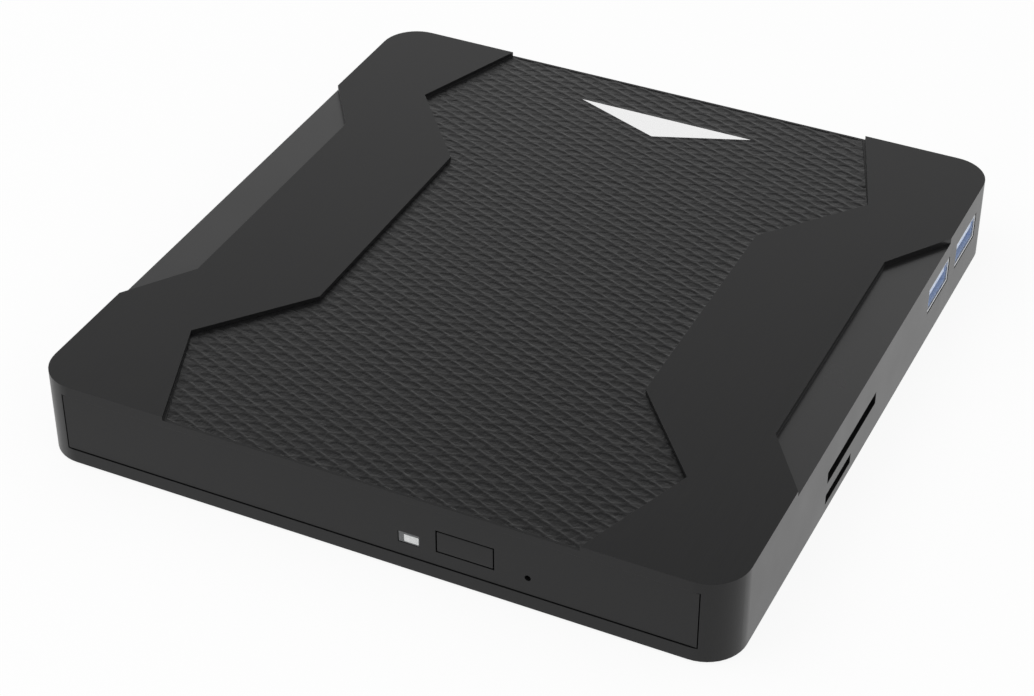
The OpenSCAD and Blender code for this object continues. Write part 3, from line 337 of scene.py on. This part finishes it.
def metal(name, dark, light, rough, size=0.0006, stretch=(1, 1, 1)):
    """Bare or plated metal with the marks of rolling, turning or tumbling."""
    material, tree, shader = finish(name, metallic=1.0)
    marks = grain(tree, size, detail=4, stretch=stretch)
    drift = 0.06
    tree.links.new(tones(tree, marks, dark, light), shader.inputs["Base Color"])
    tree.links.new(between(tree, marks, rough - drift, rough + drift), shader.inputs["Roughness"])
    tree.links.new(relief(tree, marks, depth=0.000004), shader.inputs["Normal"])
    return material


black_steel = metal("black_steel", (0.04, 0.04, 0.042), (0.075, 0.075, 0.08), rough=0.42)
zinc_steel = metal("zinc_steel", (0.5, 0.5, 0.52), (0.62, 0.62, 0.63), rough=0.32)
dress("case_screws", black_steel)
dress("drive_screws", black_steel)
for screws in ("main_board_screws", "hub_board_screws", "traverse_screws"):
    dress(screws, zinc_steel)

# Drive chassis, its guides and the latch pin
# A tub pressed from zinc-coated steel sheet. Acetal guides clip inside its side walls, and a turned pin
# for the latch is riveted to the floor.
chassis_steel = metal("chassis_steel", (0.46, 0.47, 0.48), (0.56, 0.57, 0.58), rough=0.4, size=0.0005,
                      stretch=(1, 0.06, 1))
acetal = moulded("acetal", (0.6, 0.59, 0.55), (0.67, 0.66, 0.62), rough=0.35, specular=0.5)
dress("drive_chassis", chassis_steel)
dress("drive_cover", chassis_steel)
dress("left_guide", acetal)
dress("right_guide", acetal)
dress("latch_pin_post", zinc_steel)

# Circuit boards
# Glass-epoxy boards with copper tracks under green solder mask, tinned pads, and black chips moulded in
# epoxy. The large board is screwed to the chassis floor, the hub board to posts of the bottom cover.


def board(name, pitch=0.0016, pad_end=0.16, track_start=0.62):
    """Green solder mask over copper tracks, with tinned pads."""
    material, tree, shader = finish(name)
    place = tree.nodes.new("ShaderNodeTexCoord")
    tracks = tree.nodes.new("ShaderNodeTexVoronoi")
    tracks.distance = "MANHATTAN"
    tracks.inputs["Scale"].default_value = 1 / pitch
    tree.links.new(place.outputs["Object"], tracks.inputs["Vector"])
    ramp = tree.nodes.new("ShaderNodeValToRGB")
    ramp.color_ramp.interpolation = "CONSTANT"
    ramp.color_ramp.elements[0].color = (0.62, 0.6, 0.56, 1)
    ramp.color_ramp.elements[1].position = pad_end
    ramp.color_ramp.elements[1].color = (0.008, 0.07, 0.03, 1)
    lit = ramp.color_ramp.elements.new(track_start)
    lit.color = (0.014, 0.11, 0.045, 1)
    tree.links.new(tracks.outputs["Distance"], ramp.inputs["Fac"])
    tree.links.new(ramp.outputs["Color"], shader.inputs["Base Color"])
    gloss = between(tree, grain(tree, size=0.002), low=0.3, high=0.4)
    tree.links.new(gloss, shader.inputs["Roughness"])
    tree.links.new(relief(tree, tracks.outputs["Distance"], depth=0.00003), shader.inputs["Normal"])
    return material


solder_mask = board("solder_mask")
chip_epoxy = moulded("chip_epoxy", (0.01, 0.01, 0.01), (0.018, 0.018, 0.018), rough=0.6,
                     grain_size=0.00018, depth=0.00001)
for circuit in ("main_board", "hub_board", "front_board"):
    dress(circuit, solder_mask)
for chips in ("main_board_chips", "hub_board_chips"):
    dress(chips, chip_epoxy)

# Plug and socket between the boards
# Two housings of glass-filled nylon that mate behind the drive, one black and one natural.
black_nylon = moulded("black_nylon", (0.007, 0.007, 0.0075), (0.012, 0.012, 0.0125), rough=0.5)
dress("drive_connector", black_nylon)
dress("bridge_connector", acetal)

# Port sockets
# Each has a shell folded from tinned steel round a lining and a tongue, both moulded in blue nylon. Gilt
# contacts lie along the tongue's lower face.
port_steel = metal("port_steel", (0.56, 0.57, 0.58), (0.68, 0.69, 0.7), rough=0.28, size=0.0008,
                   stretch=(0.1, 1, 1))
gilt = metal("gilt", (0.66, 0.45, 0.16), (0.8, 0.57, 0.24), rough=0.25, size=0.0004)
port_blue = moulded("port_blue", (0.36, 0.47, 0.72), (0.42, 0.53, 0.78), rough=0.3, specular=0.6)
# The tongue is the same blue nylon as the lining but is painted a lighter blue: a painted highlight on the
# tongue.
tongue_blue = moulded("tongue_blue", (0.5, 0.6, 0.82), (0.56, 0.66, 0.86), rough=0.3, specular=0.6)


facing = 0.9


def block(name, low, high):
    """A plain block between two corners, set in place in its mesh."""
    middle = (Vector(low) + Vector(high)) / 2
    bpy.ops.object.select_all(action="DESELECT")
    bpy.ops.mesh.primitive_cube_add(size=1, location=middle)
    piece = bpy.context.object
    piece.name = name
    piece.scale = Vector(high) - Vector(low)
    bpy.ops.object.transform_apply(location=True, rotation=True, scale=True)
    return piece


def slab(name, low, high, edge):
    """A block between two corners with its edges eased."""
    piece = block(name, low, high)
    ease_edges(piece, edge)
    return piece


def clear_picks(kind):
    """Leaves nothing selected in the active mesh, ready to pick faces, edges or points by a rule."""
    bpy.ops.object.mode_set(mode="EDIT")
    bpy.ops.mesh.select_mode(type=kind)
    bpy.ops.mesh.select_all(action="DESELECT")
    bpy.ops.object.mode_set(mode="OBJECT")


def joined(name, pieces):
    """One object of several."""
    bpy.ops.object.select_all(action="DESELECT")
    for piece in pieces:
        piece.select_set(True)
    bpy.context.view_layer.objects.active = pieces[0]
    bpy.ops.object.join()
    pieces[0].name = name
    pieces[0].data.name = name
    return pieces[0]


def open_box(name, low, high, wall):
    """A thin box between two corners, open on its +X side."""
    piece = block(name, low, high)
    clear_picks("FACE")
    for face in piece.data.polygons:
        face.select = face.normal.x > facing
    bpy.ops.object.mode_set(mode="EDIT")
    bpy.ops.mesh.delete(type="FACE")
    bpy.ops.object.mode_set(mode="OBJECT")
    thick = piece.modifiers.new("wall", "SOLIDIFY")
    thick.thickness = wall
    thick.offset = -1
    bpy.ops.object.modifier_apply(modifier=thick.name)
    return piece


port_contacts = 5
contact_w = 0.0009
contact_t = 0.00012
contact_l = 0.0058
contact_step = 0.002
contact_inset = 0.0004
contact_edge = 0.00004
shell_wall = 0.00035
shell_h = 0.0057
lining_wall = 0.00018
lining_back = 0.0004
tongue_under = 0.00255
tongue_root = 0.0024
clear = 0.00002
for end in ("front", "rear"):
    shell = merged_copy("usb_shell_" + end)
    ease_edges(shell, width=0.0001)
    shell.data.materials.append(port_steel)
    tongue = merged_copy("usb_tongue_" + end)
    ease_edges(tongue, width=0.00015)
    tongue.data.materials.append(tongue_blue)
    low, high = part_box("usb_tongue_" + end)
    shell_low, shell_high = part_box("usb_shell_" + end)
    inside = Vector((0, shell_wall + clear, shell_wall + clear))
    lining_low = shell_low + inside
    lining_high = shell_high - inside
    lining_low.x = low.x + tongue_root + clear
    lining_low.z = shell_high.z - shell_h + shell_wall + clear
    lining_high.x = shell_high.x - lining_back
    lining = open_box("port_lining_" + end, lining_low, lining_high, lining_wall)
    lining.data.materials.append(port_blue)
    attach(lining, "case")
    middle_y = (low.y + high.y) / 2
    tongue_low = high.z - tongue_under
    tip = high.x - contact_inset
    strips = []
    for i in range(port_contacts):
        y = middle_y + (i - (port_contacts - 1) / 2) * contact_step
        strip_low = (tip - contact_l, y - contact_w / 2, tongue_low - contact_t)
        strip_high = (tip, y + contact_w / 2, tongue_low)
        strips.append(slab("contact", strip_low, strip_high, contact_edge))
    contacts = joined("port_contacts_" + end, strips)
    contacts.data.materials.append(gilt)
    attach(contacts, "case")

# Card sockets
# Flat sockets with a stamped steel lid over a black nylon base, soldered to the hub board. Gilt springs
# stand in a row at the back of each and press on the card's contacts.
socket_steel = metal("socket_steel", (0.4, 0.41, 0.42), (0.5, 0.51, 0.52), rough=0.36, size=0.0008,
                     stretch=(1, 0.1, 1))
spring_start = 0.0025
spring_end = 0.0085
spring_half = 0.3
spring_t = 0.00025
spring_edge = 0.00006
for card, springs, gap, floor_z in (("sd", 9, 0.0025, 0.00755), ("tf", 8, 0.0011, 0.00335)):
    socket = merged_copy(card + "_socket")
    ease_edges(socket, width=0.0001)
    socket.data.materials.append(black_nylon)
    socket.data.materials.append(socket_steel)
    low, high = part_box(card + "_socket")
    for face in socket.data.polygons:
        is_lid = face.normal.z > facing and face.center.z > high.z - clear
        face.material_index = 1 if is_lid else 0
    middle_y = (low.y + high.y) / 2
    strips = []
    for i in range(springs):
        y = middle_y + (i - (springs - 1) / 2) * gap
        strip_low = (low.x + spring_start, y - gap * spring_half, floor_z)
        strip_high = (low.x + spring_end, y + gap * spring_half, floor_z + spring_t)
        strips.append(slab("spring", strip_low, strip_high, spring_edge))
    row = joined(card + "_springs", strips)
    row.data.materials.append(gilt)
    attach(row, "case")

# Power inlet
# A deep-drawn oval shell of tinned steel round a thin black tongue, soldered to the edge of the hub board.
inlet = merged_copy("power_inlet")
ease_edges(inlet, width=0.0001)
inlet.data.materials.append(port_steel)
dress("power_inlet_tongue", black_nylon)

# Tray ribbon
# A flat flexible cable: copper strips laminated between amber polyester films. It lies folded on the
# chassis floor, as it does with the tray shut.


def ribbon_film(name, strip_scale=320):
    """Amber film with copper strips along its length."""
    material, tree, shader = finish(name)
    place = tree.nodes.new("ShaderNodeTexCoord")
    strips = tree.nodes.new("ShaderNodeTexWave")
    strips.bands_direction = "X"
    strips.inputs["Scale"].default_value = strip_scale
    tree.links.new(place.outputs["Object"], strips.inputs["Vector"])
    colour = tones(tree, strips.outputs["Fac"], (0.42, 0.3, 0.13), (0.62, 0.5, 0.28))
    tree.links.new(colour, shader.inputs["Base Color"])
    tree.links.new(relief(tree, strips.outputs["Fac"], depth=0.00002), shader.inputs["Normal"])
    gloss = between(tree, grain(tree, size=0.003), low=0.25, high=0.35)
    tree.links.new(gloss, shader.inputs["Roughness"])
    return material


dress("tray_ribbon", ribbon_film("ribbon_film"))

# Sliding rails
# Channels roll-formed from stainless strip, one at each side. They run in the guides and the tray's tongues
# run in them, so that the tray comes right out.
rail_steel = metal("rail_steel", (0.55, 0.56, 0.57), (0.66, 0.67, 0.68), rough=0.3, size=0.0005,
                   stretch=(1, 0.04, 1))
for side in ("left", "right"):
    rail = merged_copy(side + "_rail")
    ease_edges(rail, width=0.00012)
    rail.data.materials.append(rail_steel)

# Tray
# A flat moulding of black ABS with a round recess for the disc and an opening for the pickup.
tray_plastic = moulded("tray_plastic", (0.014, 0.014, 0.015), (0.021, 0.021, 0.022), rough=0.48,
                       grain_size=0.00035)
tray = merged_copy("tray")
ease_edges(tray, width=0.00025)
tray.data.materials.append(tray_plastic)

# Bezel, eject button and status lens
# The bezel and the button are moulded in the same black ABS as the case, and the button rides in a hole of
# the bezel. The lens is a chip of grey acrylic with a white frosted window.
front_plastic = moulded("front_plastic", case_dark, case_light, rough=0.42, specular=0.06, lacquer=0.47)
bezel = merged_copy("tray_bezel")
ease_edges(bezel, width=0.00022)
bezel.data.materials.append(front_plastic)
button = merged_copy("eject_button")
ease_edges(button, width=0.00022)
button.data.materials.append(front_plastic)


def frosted(name, dark, light):
    """Frosted acrylic, pale and soft in its gloss."""
    material, tree, shader = finish(name)
    haze = grain(tree, size=0.0008, detail=3)
    tree.links.new(tones(tree, haze, dark, light), shader.inputs["Base Color"])
    tree.links.new(between(tree, haze, low=0.2, high=0.34), shader.inputs["Roughness"])
    shader.inputs["Subsurface Weight"].default_value = 0.3
    shader.inputs["Subsurface Radius"].default_value = (0.001, 0.001, 0.001)
    return material


window_margin = 0.00018
window_right = 0.0009
window_drop = 0.00045
window_sunk = 0.0001
lens = merged_copy("status_lens")
clear_picks("FACE")
for face in lens.data.polygons:
    face.select = face.normal.y < -facing
bpy.ops.object.mode_set(mode="EDIT")
bpy.ops.mesh.inset(thickness=window_margin, depth=-window_sunk)
bpy.ops.object.mode_set(mode="OBJECT")
lens_window = [face.index for face in lens.data.polygons if face.select]
lens_low, lens_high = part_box("status_lens")
lens_middle = (lens_low + lens_high) / 2
window_corners = [i for index in lens_window for i in lens.data.polygons[index].vertices]
for way, toward in (((window_right, 0, 0), -1), ((0, 0, -window_drop), 1)):
    clear_picks("VERT")
    for i in window_corners:
        off = lens.data.vertices[i].co - lens_middle
        lens.data.vertices[i].select = (off.x if way[0] else off.z) * toward > 0
    bpy.ops.object.mode_set(mode="EDIT")
    bpy.ops.transform.translate(value=way)
    bpy.ops.object.mode_set(mode="OBJECT")
lens.data.materials.append(frosted("lens_acrylic", (0.09, 0.092, 0.095), (0.12, 0.122, 0.126)))
lens.data.materials.append(frosted("lens_window", (0.66, 0.67, 0.67), (0.74, 0.75, 0.75)))
for index in lens_window:
    lens.data.polygons[index].material_index = 1
ease_edges(lens, width=0.00006)

# Switch, lamp and magnet under the tray's front
# The button presses a small switch on a board, beside the lamp of the lens. A coil of enamelled wire in a
# steel yoke pulls the latch free.
dress("eject_switch", acetal)
dress("status_light", frosted("lamp_resin", (0.6, 0.6, 0.55), (0.7, 0.7, 0.65)))


def winding(name, turn_scale=900):
    """Enamelled copper wire, turn by turn."""
    material, tree, shader = finish(name, metallic=0.8)
    place = tree.nodes.new("ShaderNodeTexCoord")
    turns = tree.nodes.new("ShaderNodeTexWave")
    turns.bands_direction = "X"
    turns.inputs["Scale"].default_value = turn_scale
    tree.links.new(place.outputs["Object"], turns.inputs["Vector"])
    colour = tones(tree, turns.outputs["Fac"], (0.2, 0.06, 0.025), (0.5, 0.19, 0.08))
    tree.links.new(colour, shader.inputs["Base Color"])
    tree.links.new(relief(tree, turns.outputs["Fac"], depth=0.00008), shader.inputs["Normal"])
    tree.links.new(between(tree, turns.outputs["Fac"], low=0.3, high=0.4), shader.inputs["Roughness"])
    return material


dress("eject_magnet", winding("magnet_wire"))

# Latch lever
# A natural acetal lever on a pin under the tray. Its hook swings onto the chassis pin to hold the tray shut,
# and at rest it is drawn swung free.
dress("latch_lever", acetal)

# Traverse
# A frame pressed from steel sheet hangs under the tray on rubber dampers. It carries the spindle motor, the
# rods and the sled motor, and a painted shield closes it round the pickup.
frame_steel = metal("frame_steel", (0.42, 0.43, 0.44), (0.52, 0.53, 0.54), rough=0.38, size=0.0006,
                    stretch=(1, 0.2, 1))
polished_steel = metal("polished_steel", (0.62, 0.63, 0.64), (0.72, 0.73, 0.74), rough=0.16, size=0.0004)
dress("traverse_frame", frame_steel)
dress("guide_rods", polished_steel)
dress("damper_grommets", rubber("damper_rubber", (0.09, 0.03, 0.05), (0.13, 0.045, 0.075)))
dress("spindle_motor", frame_steel)
dress("sled_motor", metal("motor_can", (0.5, 0.5, 0.51), (0.6, 0.6, 0.61), rough=0.3))
shield_paint = moulded("shield_paint", (0.05, 0.052, 0.056), (0.068, 0.07, 0.075), rough=0.36,
                       grain_size=0.0004, specular=0.5)
shield = merged_copy("traverse_cover")
ease_edges(shield, width=0.0001)
shield.data.materials.append(shield_paint)

# Plate under the mechanism
# A strip of thin stainless sheet, pressed with one shallow rib and welded under the spindle motor. It closes
# the pickup's opening from below.
plate_from = -0.006
plate_to = 0.066
plate_half = 0.0105
plate_t = 0.00015
plate_corner = 0.003
rib_inset = 0.003
rib_depth = 0.0001
traverse_turn = math.radians(225)
spindle_low, spindle_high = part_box("spindle_motor")
spindle_x = (spindle_low.x + spindle_high.x) / 2
spindle_y = (spindle_low.y + spindle_high.y) / 2
plate_middle = (plate_from + plate_to) / 2
plate_place = (spindle_x + plate_middle * math.cos(traverse_turn),
               spindle_y + plate_middle * math.sin(traverse_turn), spindle_low.z - plate_t / 2)
bpy.ops.object.select_all(action="DESELECT")
bpy.ops.mesh.primitive_cube_add(size=1, location=plate_place, rotation=(0, 0, traverse_turn))
under_plate = bpy.context.object
under_plate.name = "mechanism_plate"
under_plate.scale = (plate_to - plate_from, 2 * plate_half, plate_t)
bpy.ops.object.transform_apply(location=True, rotation=True, scale=True)
clear_picks("EDGE")
for edge in under_plate.data.edges:
    first, second = (under_plate.data.vertices[i].co for i in edge.vertices)
    edge.select = abs(first.z - second.z) > plate_t / 2
bpy.ops.object.mode_set(mode="EDIT")
bpy.ops.mesh.bevel(offset=plate_corner, segments=5, affect="EDGES")
clear_picks("FACE")
for face in under_plate.data.polygons:
    face.select = face.normal.z > facing
bpy.ops.object.mode_set(mode="EDIT")
bpy.ops.mesh.inset(thickness=rib_inset, depth=0)
bpy.ops.mesh.inset(thickness=rib_inset / 3, depth=-rib_depth)
bpy.ops.object.mode_set(mode="OBJECT")
bpy.ops.object.shade_smooth_by_angle(angle=math.radians(35))
under_plate.data.materials.append(frame_steel)
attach(under_plate, frame["nodes"]["spindle_motor"]["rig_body"])

# Turntable, mat and claws
# The disc sits on a rubber mat on the turntable. Three sprung claws in the hub snap under the disc's hole.
hub_plastic = moulded("hub_plastic", (0.02, 0.02, 0.021), (0.028, 0.028, 0.03), rough=0.36, specular=0.45)
hub = merged_copy("turntable")
ease_edges(hub, width=0.0003, steps=3)
hub.data.materials.append(hub_plastic)
dress("turntable_mat", rubber("mat_rubber", (0.012, 0.012, 0.012), (0.02, 0.02, 0.02)))
for number in ("1", "2", "3"):
    claw = merged_copy("hub_claw_" + number)
    ease_edges(claw, width=0.0001)
    claw.data.materials.append(acetal)

# Pickup
# A die-cast sled runs on the two rods, driven by a nut on the lead screw. The glass lens is glued into a
# small nylon holder that moves up and down in the sled.
cast_metal = metal("cast_metal", (0.2, 0.2, 0.21), (0.3, 0.3, 0.31), rough=0.45, size=0.0004)
dress("lead_screw", polished_steel)
sled = merged_copy("pickup_sled")
ease_edges(sled, width=0.0002)
sled.data.materials.append(cast_metal)
dress("sled_nut", acetal)
holder = merged_copy("lens_holder")
ease_edges(holder, width=0.00025)
holder.data.materials.append(black_nylon)


def coated_glass(name):
    """Moulded glass with a violet coating against reflections."""
    material, tree, shader = finish(name, specular=0.6)
    ring = grain(tree, size=0.003)
    tree.links.new(tones(tree, ring, (0.05, 0.09, 0.16), (0.1, 0.12, 0.26)), shader.inputs["Base Color"])
    tree.links.new(between(tree, ring, low=0.03, high=0.06), shader.inputs["Roughness"])
    shader.inputs["Coat Weight"].default_value = 0.6
    return material


dress("objective_lens", coated_glass("objective_glass"))

# Top cover
# The whole upper case in one moulding of black ABS: the front rail, the sides with their ports, and two
# raised side plates with a smooth scoop in each. The plates have a faint brushed grain, and the rest a
# fine eroded one.
case_plastic = moulded("case_plastic", case_dark, case_light, rough=0.42, specular=0.06, lacquer=0.55)


def brushed_plastic(name, dark, light, rough, specular, lacquer):
    """Plastic from a brushed mould: long fine lines along the depth of the case."""
    material, tree, shader = finish(name, specular)
    shader.inputs["Coat Weight"].default_value = lacquer
    shader.inputs["Coat Roughness"].default_value = 0.35
    lines = grain(tree, size=0.0003, detail=3, stretch=(1, 0.025, 1))
    speck = grain(tree, size=0.00025)
    drift = 0.04
    tree.links.new(tones(tree, lines, dark, light), shader.inputs["Base Color"])
    tree.links.new(between(tree, lines, rough - drift, rough + drift), shader.inputs["Roughness"])
    both = tree.nodes.new("ShaderNodeMath")
    both.operation = "ADD"
    tree.links.new(lines, both.inputs[0])
    tree.links.new(speck, both.inputs[1])
    tree.links.new(relief(tree, both.outputs[0], depth=0.000006), shader.inputs["Normal"])
    return material


plate_plastic = brushed_plastic("plate_plastic", case_dark, case_light, rough=0.42, specular=0.06,
                                lacquer=0.42)
scoop_plastic = moulded("scoop_plastic", case_dark, case_light, rough=0.3, depth=0.000003, specular=0.58)
cover = merged_copy("top_cover")
cover_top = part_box("top_cover")[1].z
near = 0.00005
scoop_depth = 0.0012
front_lean = 0.3
panel_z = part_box("ripple_panel")[1].z
ease_edges(cover, width=0.0002, steps=3)
cover.data.materials.append(case_plastic)
cover.data.materials.append(plate_plastic)
cover.data.materials.append(scoop_plastic)
cover.data.materials.append(front_plastic)
for face in cover.data.polygons:
    if face.normal.z > facing and face.center.z > panel_z - near:
        face.material_index = 1
    elif face.normal.z > facing and abs(cover_top - scoop_depth - face.center.z) < near:
        face.material_index = 2
    elif face.normal.y < -front_lean:
        face.material_index = 3

# Ripple panel
# A thin sheet embossed with slanting ridges round lens-shaped hollows, glued into a pocket of the top cover.
# The pattern fades to a plain margin along the plates and round the inlay.
panel_low, panel_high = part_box("ripple_panel")
inlay_low, inlay_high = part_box("triangle_inlay")
cell_x = 0.00322
cell_y = 0.001295
crest = 0.00006
slope = 0.00032
slope_depth = 0.0001
run_out = 0.00014
run_out_depth = 0.000005
saddle = 0.0001
tip_draw = 0.85
bow = 0.00018
margin = 0.00045
below_top = 0.00002
off_axis = 0.1
on_axis = 0.05
inside_rim = 0.99
net_z = panel_high.z - below_top
bpy.ops.object.select_all(action="DESELECT")
bpy.ops.mesh.primitive_circle_add(vertices=8, radius=1, fill_type="NGON", location=(0, 0, net_z))
net = bpy.context.object
net.name = "ripple_net"
bpy.ops.object.transform_apply(location=True, rotation=False, scale=False)
clear_picks("VERT")
for point in net.data.vertices:
    point.select = abs(point.co.x) > off_axis and abs(point.co.y) > off_axis
bpy.ops.object.mode_set(mode="EDIT")
half_way = math.sqrt(0.5)
bpy.ops.transform.resize(value=(half_way, half_way, 1), center_override=(0, 0, net_z))
bpy.ops.mesh.select_all(action="SELECT")
bpy.ops.transform.resize(value=(cell_x, cell_y, 1), center_override=(0, 0, net_z))
bpy.ops.mesh.select_mode(type="FACE")
bpy.ops.mesh.select_all(action="SELECT")
bpy.ops.mesh.inset(thickness=crest, depth=0)
bpy.ops.mesh.inset(thickness=slope, depth=-slope_depth)
bpy.ops.mesh.inset(thickness=run_out, depth=-run_out_depth)
clear_picks("VERT")
for point in net.data.vertices:
    x, y, z = point.co
    point.select = x * y < -off_axis * cell_x * cell_y and z > net_z - near
bpy.ops.object.mode_set(mode="EDIT")
bpy.ops.transform.translate(value=(0, 0, -saddle))
clear_picks("VERT")
for point in net.data.vertices:
    across_x, across_y = abs(point.co.x) / cell_x, abs(point.co.y) / cell_y
    point.select = across_x * across_y < on_axis and across_x + across_y < inside_rim
bpy.ops.object.mode_set(mode="EDIT")
bpy.ops.transform.resize(value=(tip_draw, tip_draw, 1), center_override=(0, 0, net_z))
clear_picks("VERT")
for point in net.data.vertices:
    point.select = point.co.x * point.co.y > off_axis * cell_x * cell_y
bpy.ops.object.mode_set(mode="EDIT")
ridge_side = Vector((cell_y, cell_x, 0)).normalized()
bpy.ops.transform.translate(value=ridge_side * bow)
bpy.ops.mesh.select_all(action="SELECT")
bpy.ops.mesh.duplicate_move(TRANSFORM_OT_translate={"value": (cell_x, cell_y, 0)})
bpy.ops.mesh.select_all(action="SELECT")
columns = math.ceil((panel_high.x - panel_low.x) / (2 * cell_x)) + 1
rows = math.ceil((panel_high.y - panel_low.y) / (2 * cell_y)) + 1
bpy.ops.transform.translate(value=(-columns * cell_x, -rows * cell_y, 0))
bpy.ops.object.mode_set(mode="OBJECT")
for count, step in ((columns, (2 * cell_x, 0, 0)), (rows, (0, 2 * cell_y, 0))):
    spread = net.modifiers.new("net_array", "ARRAY")
    spread.count = count
    spread.use_relative_offset = False
    spread.use_constant_offset = True
    spread.constant_offset_displace = step
    bpy.ops.object.modifier_apply(modifier=spread.name)
bpy.ops.object.mode_set(mode="EDIT")
bpy.ops.mesh.select_all(action="SELECT")
bpy.ops.mesh.remove_doubles(threshold=0.00001)
bpy.ops.object.mode_set(mode="OBJECT")

edge_gap = 0.00005
waist = Vector((0.0348 - edge_gap, 0.0286))
shoulder = Vector((0.0516 - edge_gap, 0.0492))
panel_end = Vector((0.0418 - edge_gap, panel_high.y))
inlay_tip = Vector((0, inlay_low.y - edge_gap))
inlay_corner = Vector((inlay_high.x, inlay_high.y + edge_gap))


def side_line(low, high):
    """A cut along a slanted edge: a point on it, and the way to the waste on the right."""
    along = high - low
    return (low.x, low.y, 0), (along.y, -along.x, 0)


def level(y, waste):
    """A cut straight across at y, with the waste before it or behind it."""
    return (0, y, 0), (0, waste, 0)


def mirrored(cut):
    """The same cut on the left side."""
    (x, y, z), (a, b, c) = cut
    return (-x, y, z), (-a, b, c)


def flipped(point):
    """The same point at the other end of the panel."""
    return Vector((point.x, -point.y))


def gap_to(point, start, end):
    """How far a point is from a straight side, in plan."""
    share = intersect_point_line(point, start.to_3d(), end.to_3d())[1]
    return (point - start.to_3d().lerp(end.to_3d(), min(max(share, 0), 1))).length


outline = [flipped(panel_end), flipped(shoulder), flipped(waist), waist, shoulder, panel_end]
margins = list(zip(outline, outline[1:]))
margins += [(inlay_tip, inlay_corner), (inlay_corner, Vector((0, inlay_corner.y)))]
across = ((0, 0, 0), (-1, 0, 0))
rear_side = side_line(shoulder, panel_end)
rear_neck = side_line(waist, shoulder)
front_side = side_line(flipped(panel_end), flipped(shoulder))
front_neck = side_line(flipped(shoulder), flipped(waist))
waist_side = side_line(flipped(waist), waist)
inlay_edge = ((inlay_tip.x, inlay_tip.y, 0),
              (inlay_tip.y - inlay_corner.y, inlay_corner.x - inlay_tip.x, 0))
regions = [
    [level(-panel_end.y, -1), level(-shoulder.y, 1), front_side, mirrored(front_side)],
    [level(-shoulder.y, -1), level(-waist.y, 1), front_neck, mirrored(front_neck)],
    [level(-waist.y, -1), level(waist.y, 1), waist_side, mirrored(waist_side)],
    [level(waist.y, -1), level(shoulder.y, 1), rear_neck, mirrored(rear_neck)],
    [level(inlay_corner.y, -1), level(panel_end.y, 1), rear_side, mirrored(rear_side)],
    [level(shoulder.y, -1), level(inlay_corner.y, 1), rear_side, inlay_edge, across],
    [level(shoulder.y, -1), level(inlay_corner.y, 1), mirrored(rear_side), mirrored(inlay_edge),
     mirrored(across)],
]
patches = []
for cuts in regions:
    patch = bpy.data.objects.new("net_patch", net.data.copy())
    bpy.context.scene.collection.objects.link(patch)
    select_only(patch)
    bpy.ops.object.mode_set(mode="EDIT")
    for place, waste in cuts:
        bpy.ops.mesh.select_all(action="SELECT")
        bpy.ops.mesh.bisect(plane_co=place, plane_no=waste, clear_outer=True, threshold=0.000001)
    bpy.ops.object.mode_set(mode="OBJECT")
    patches.append(patch)
bpy.data.objects.remove(net)
ripple = joined("ripple_sheet", patches)
bpy.ops.object.mode_set(mode="EDIT")
bpy.ops.mesh.select_all(action="SELECT")
bpy.ops.mesh.remove_doubles(threshold=0.000005)
clear_picks("VERT")
for point in ripple.data.vertices:
    here = Vector((abs(point.co.x), point.co.y, 0))
    point.select = any(gap_to(here, *side) < margin for side in margins)
bpy.ops.object.mode_set(mode="EDIT")
bpy.ops.transform.resize(value=(1, 1, 0), center_override=(0, 0, net_z))
bpy.ops.mesh.select_mode(type="EDGE")
bpy.ops.mesh.select_all(action="DESELECT")
bpy.ops.mesh.select_non_manifold(extend=False, use_wire=False, use_multi_face=False,
                                 use_non_contiguous=False, use_verts=False)
bpy.ops.mesh.extrude_edges_move(TRANSFORM_OT_translate={"value": (0, 0, panel_low.z - net_z)})
bpy.ops.mesh.fill()
bpy.ops.mesh.select_all(action="SELECT")
bpy.ops.mesh.normals_make_consistent(inside=False)
bpy.ops.object.mode_set(mode="OBJECT")
bpy.ops.object.shade_smooth_by_angle(angle=math.radians(50))


def embossed(name, dark, light, rough, specular, wave_size, wave_depth):
    """Embossed plastic sheet, uneven from the hot roll that pressed it."""
    material, tree, shader = finish(name, specular)
    wave = grain(tree, wave_size)
    speck = grain(tree, size=0.0002)
    drift = 0.06
    tree.links.new(tones(tree, speck, dark, light), shader.inputs["Base Color"])
    tree.links.new(between(tree, wave, rough - drift, rough + drift), shader.inputs["Roughness"])
    tree.links.new(relief(tree, wave, wave_depth), shader.inputs["Normal"])
    return material


ripple_plastic = embossed("ripple_plastic", case_dark, case_light, rough=0.3, specular=0.28,
                          wave_size=0.0014, wave_depth=0.00013)
ripple.data.materials.append(ripple_plastic)
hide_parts("ripple_panel")
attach(ripple, "case")

# Inlay
# A triangle of white acrylic, flush with the crests of the panel that it is let into.
inlay = merged_copy("triangle_inlay")
ease_edges(inlay, width=0.0001)
inlay_acrylic = moulded("inlay_white", (0.83, 0.83, 0.83), (0.87, 0.87, 0.87), rough=0.3, specular=0.5)
inlay.data.materials.append(inlay_acrylic)

low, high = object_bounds()
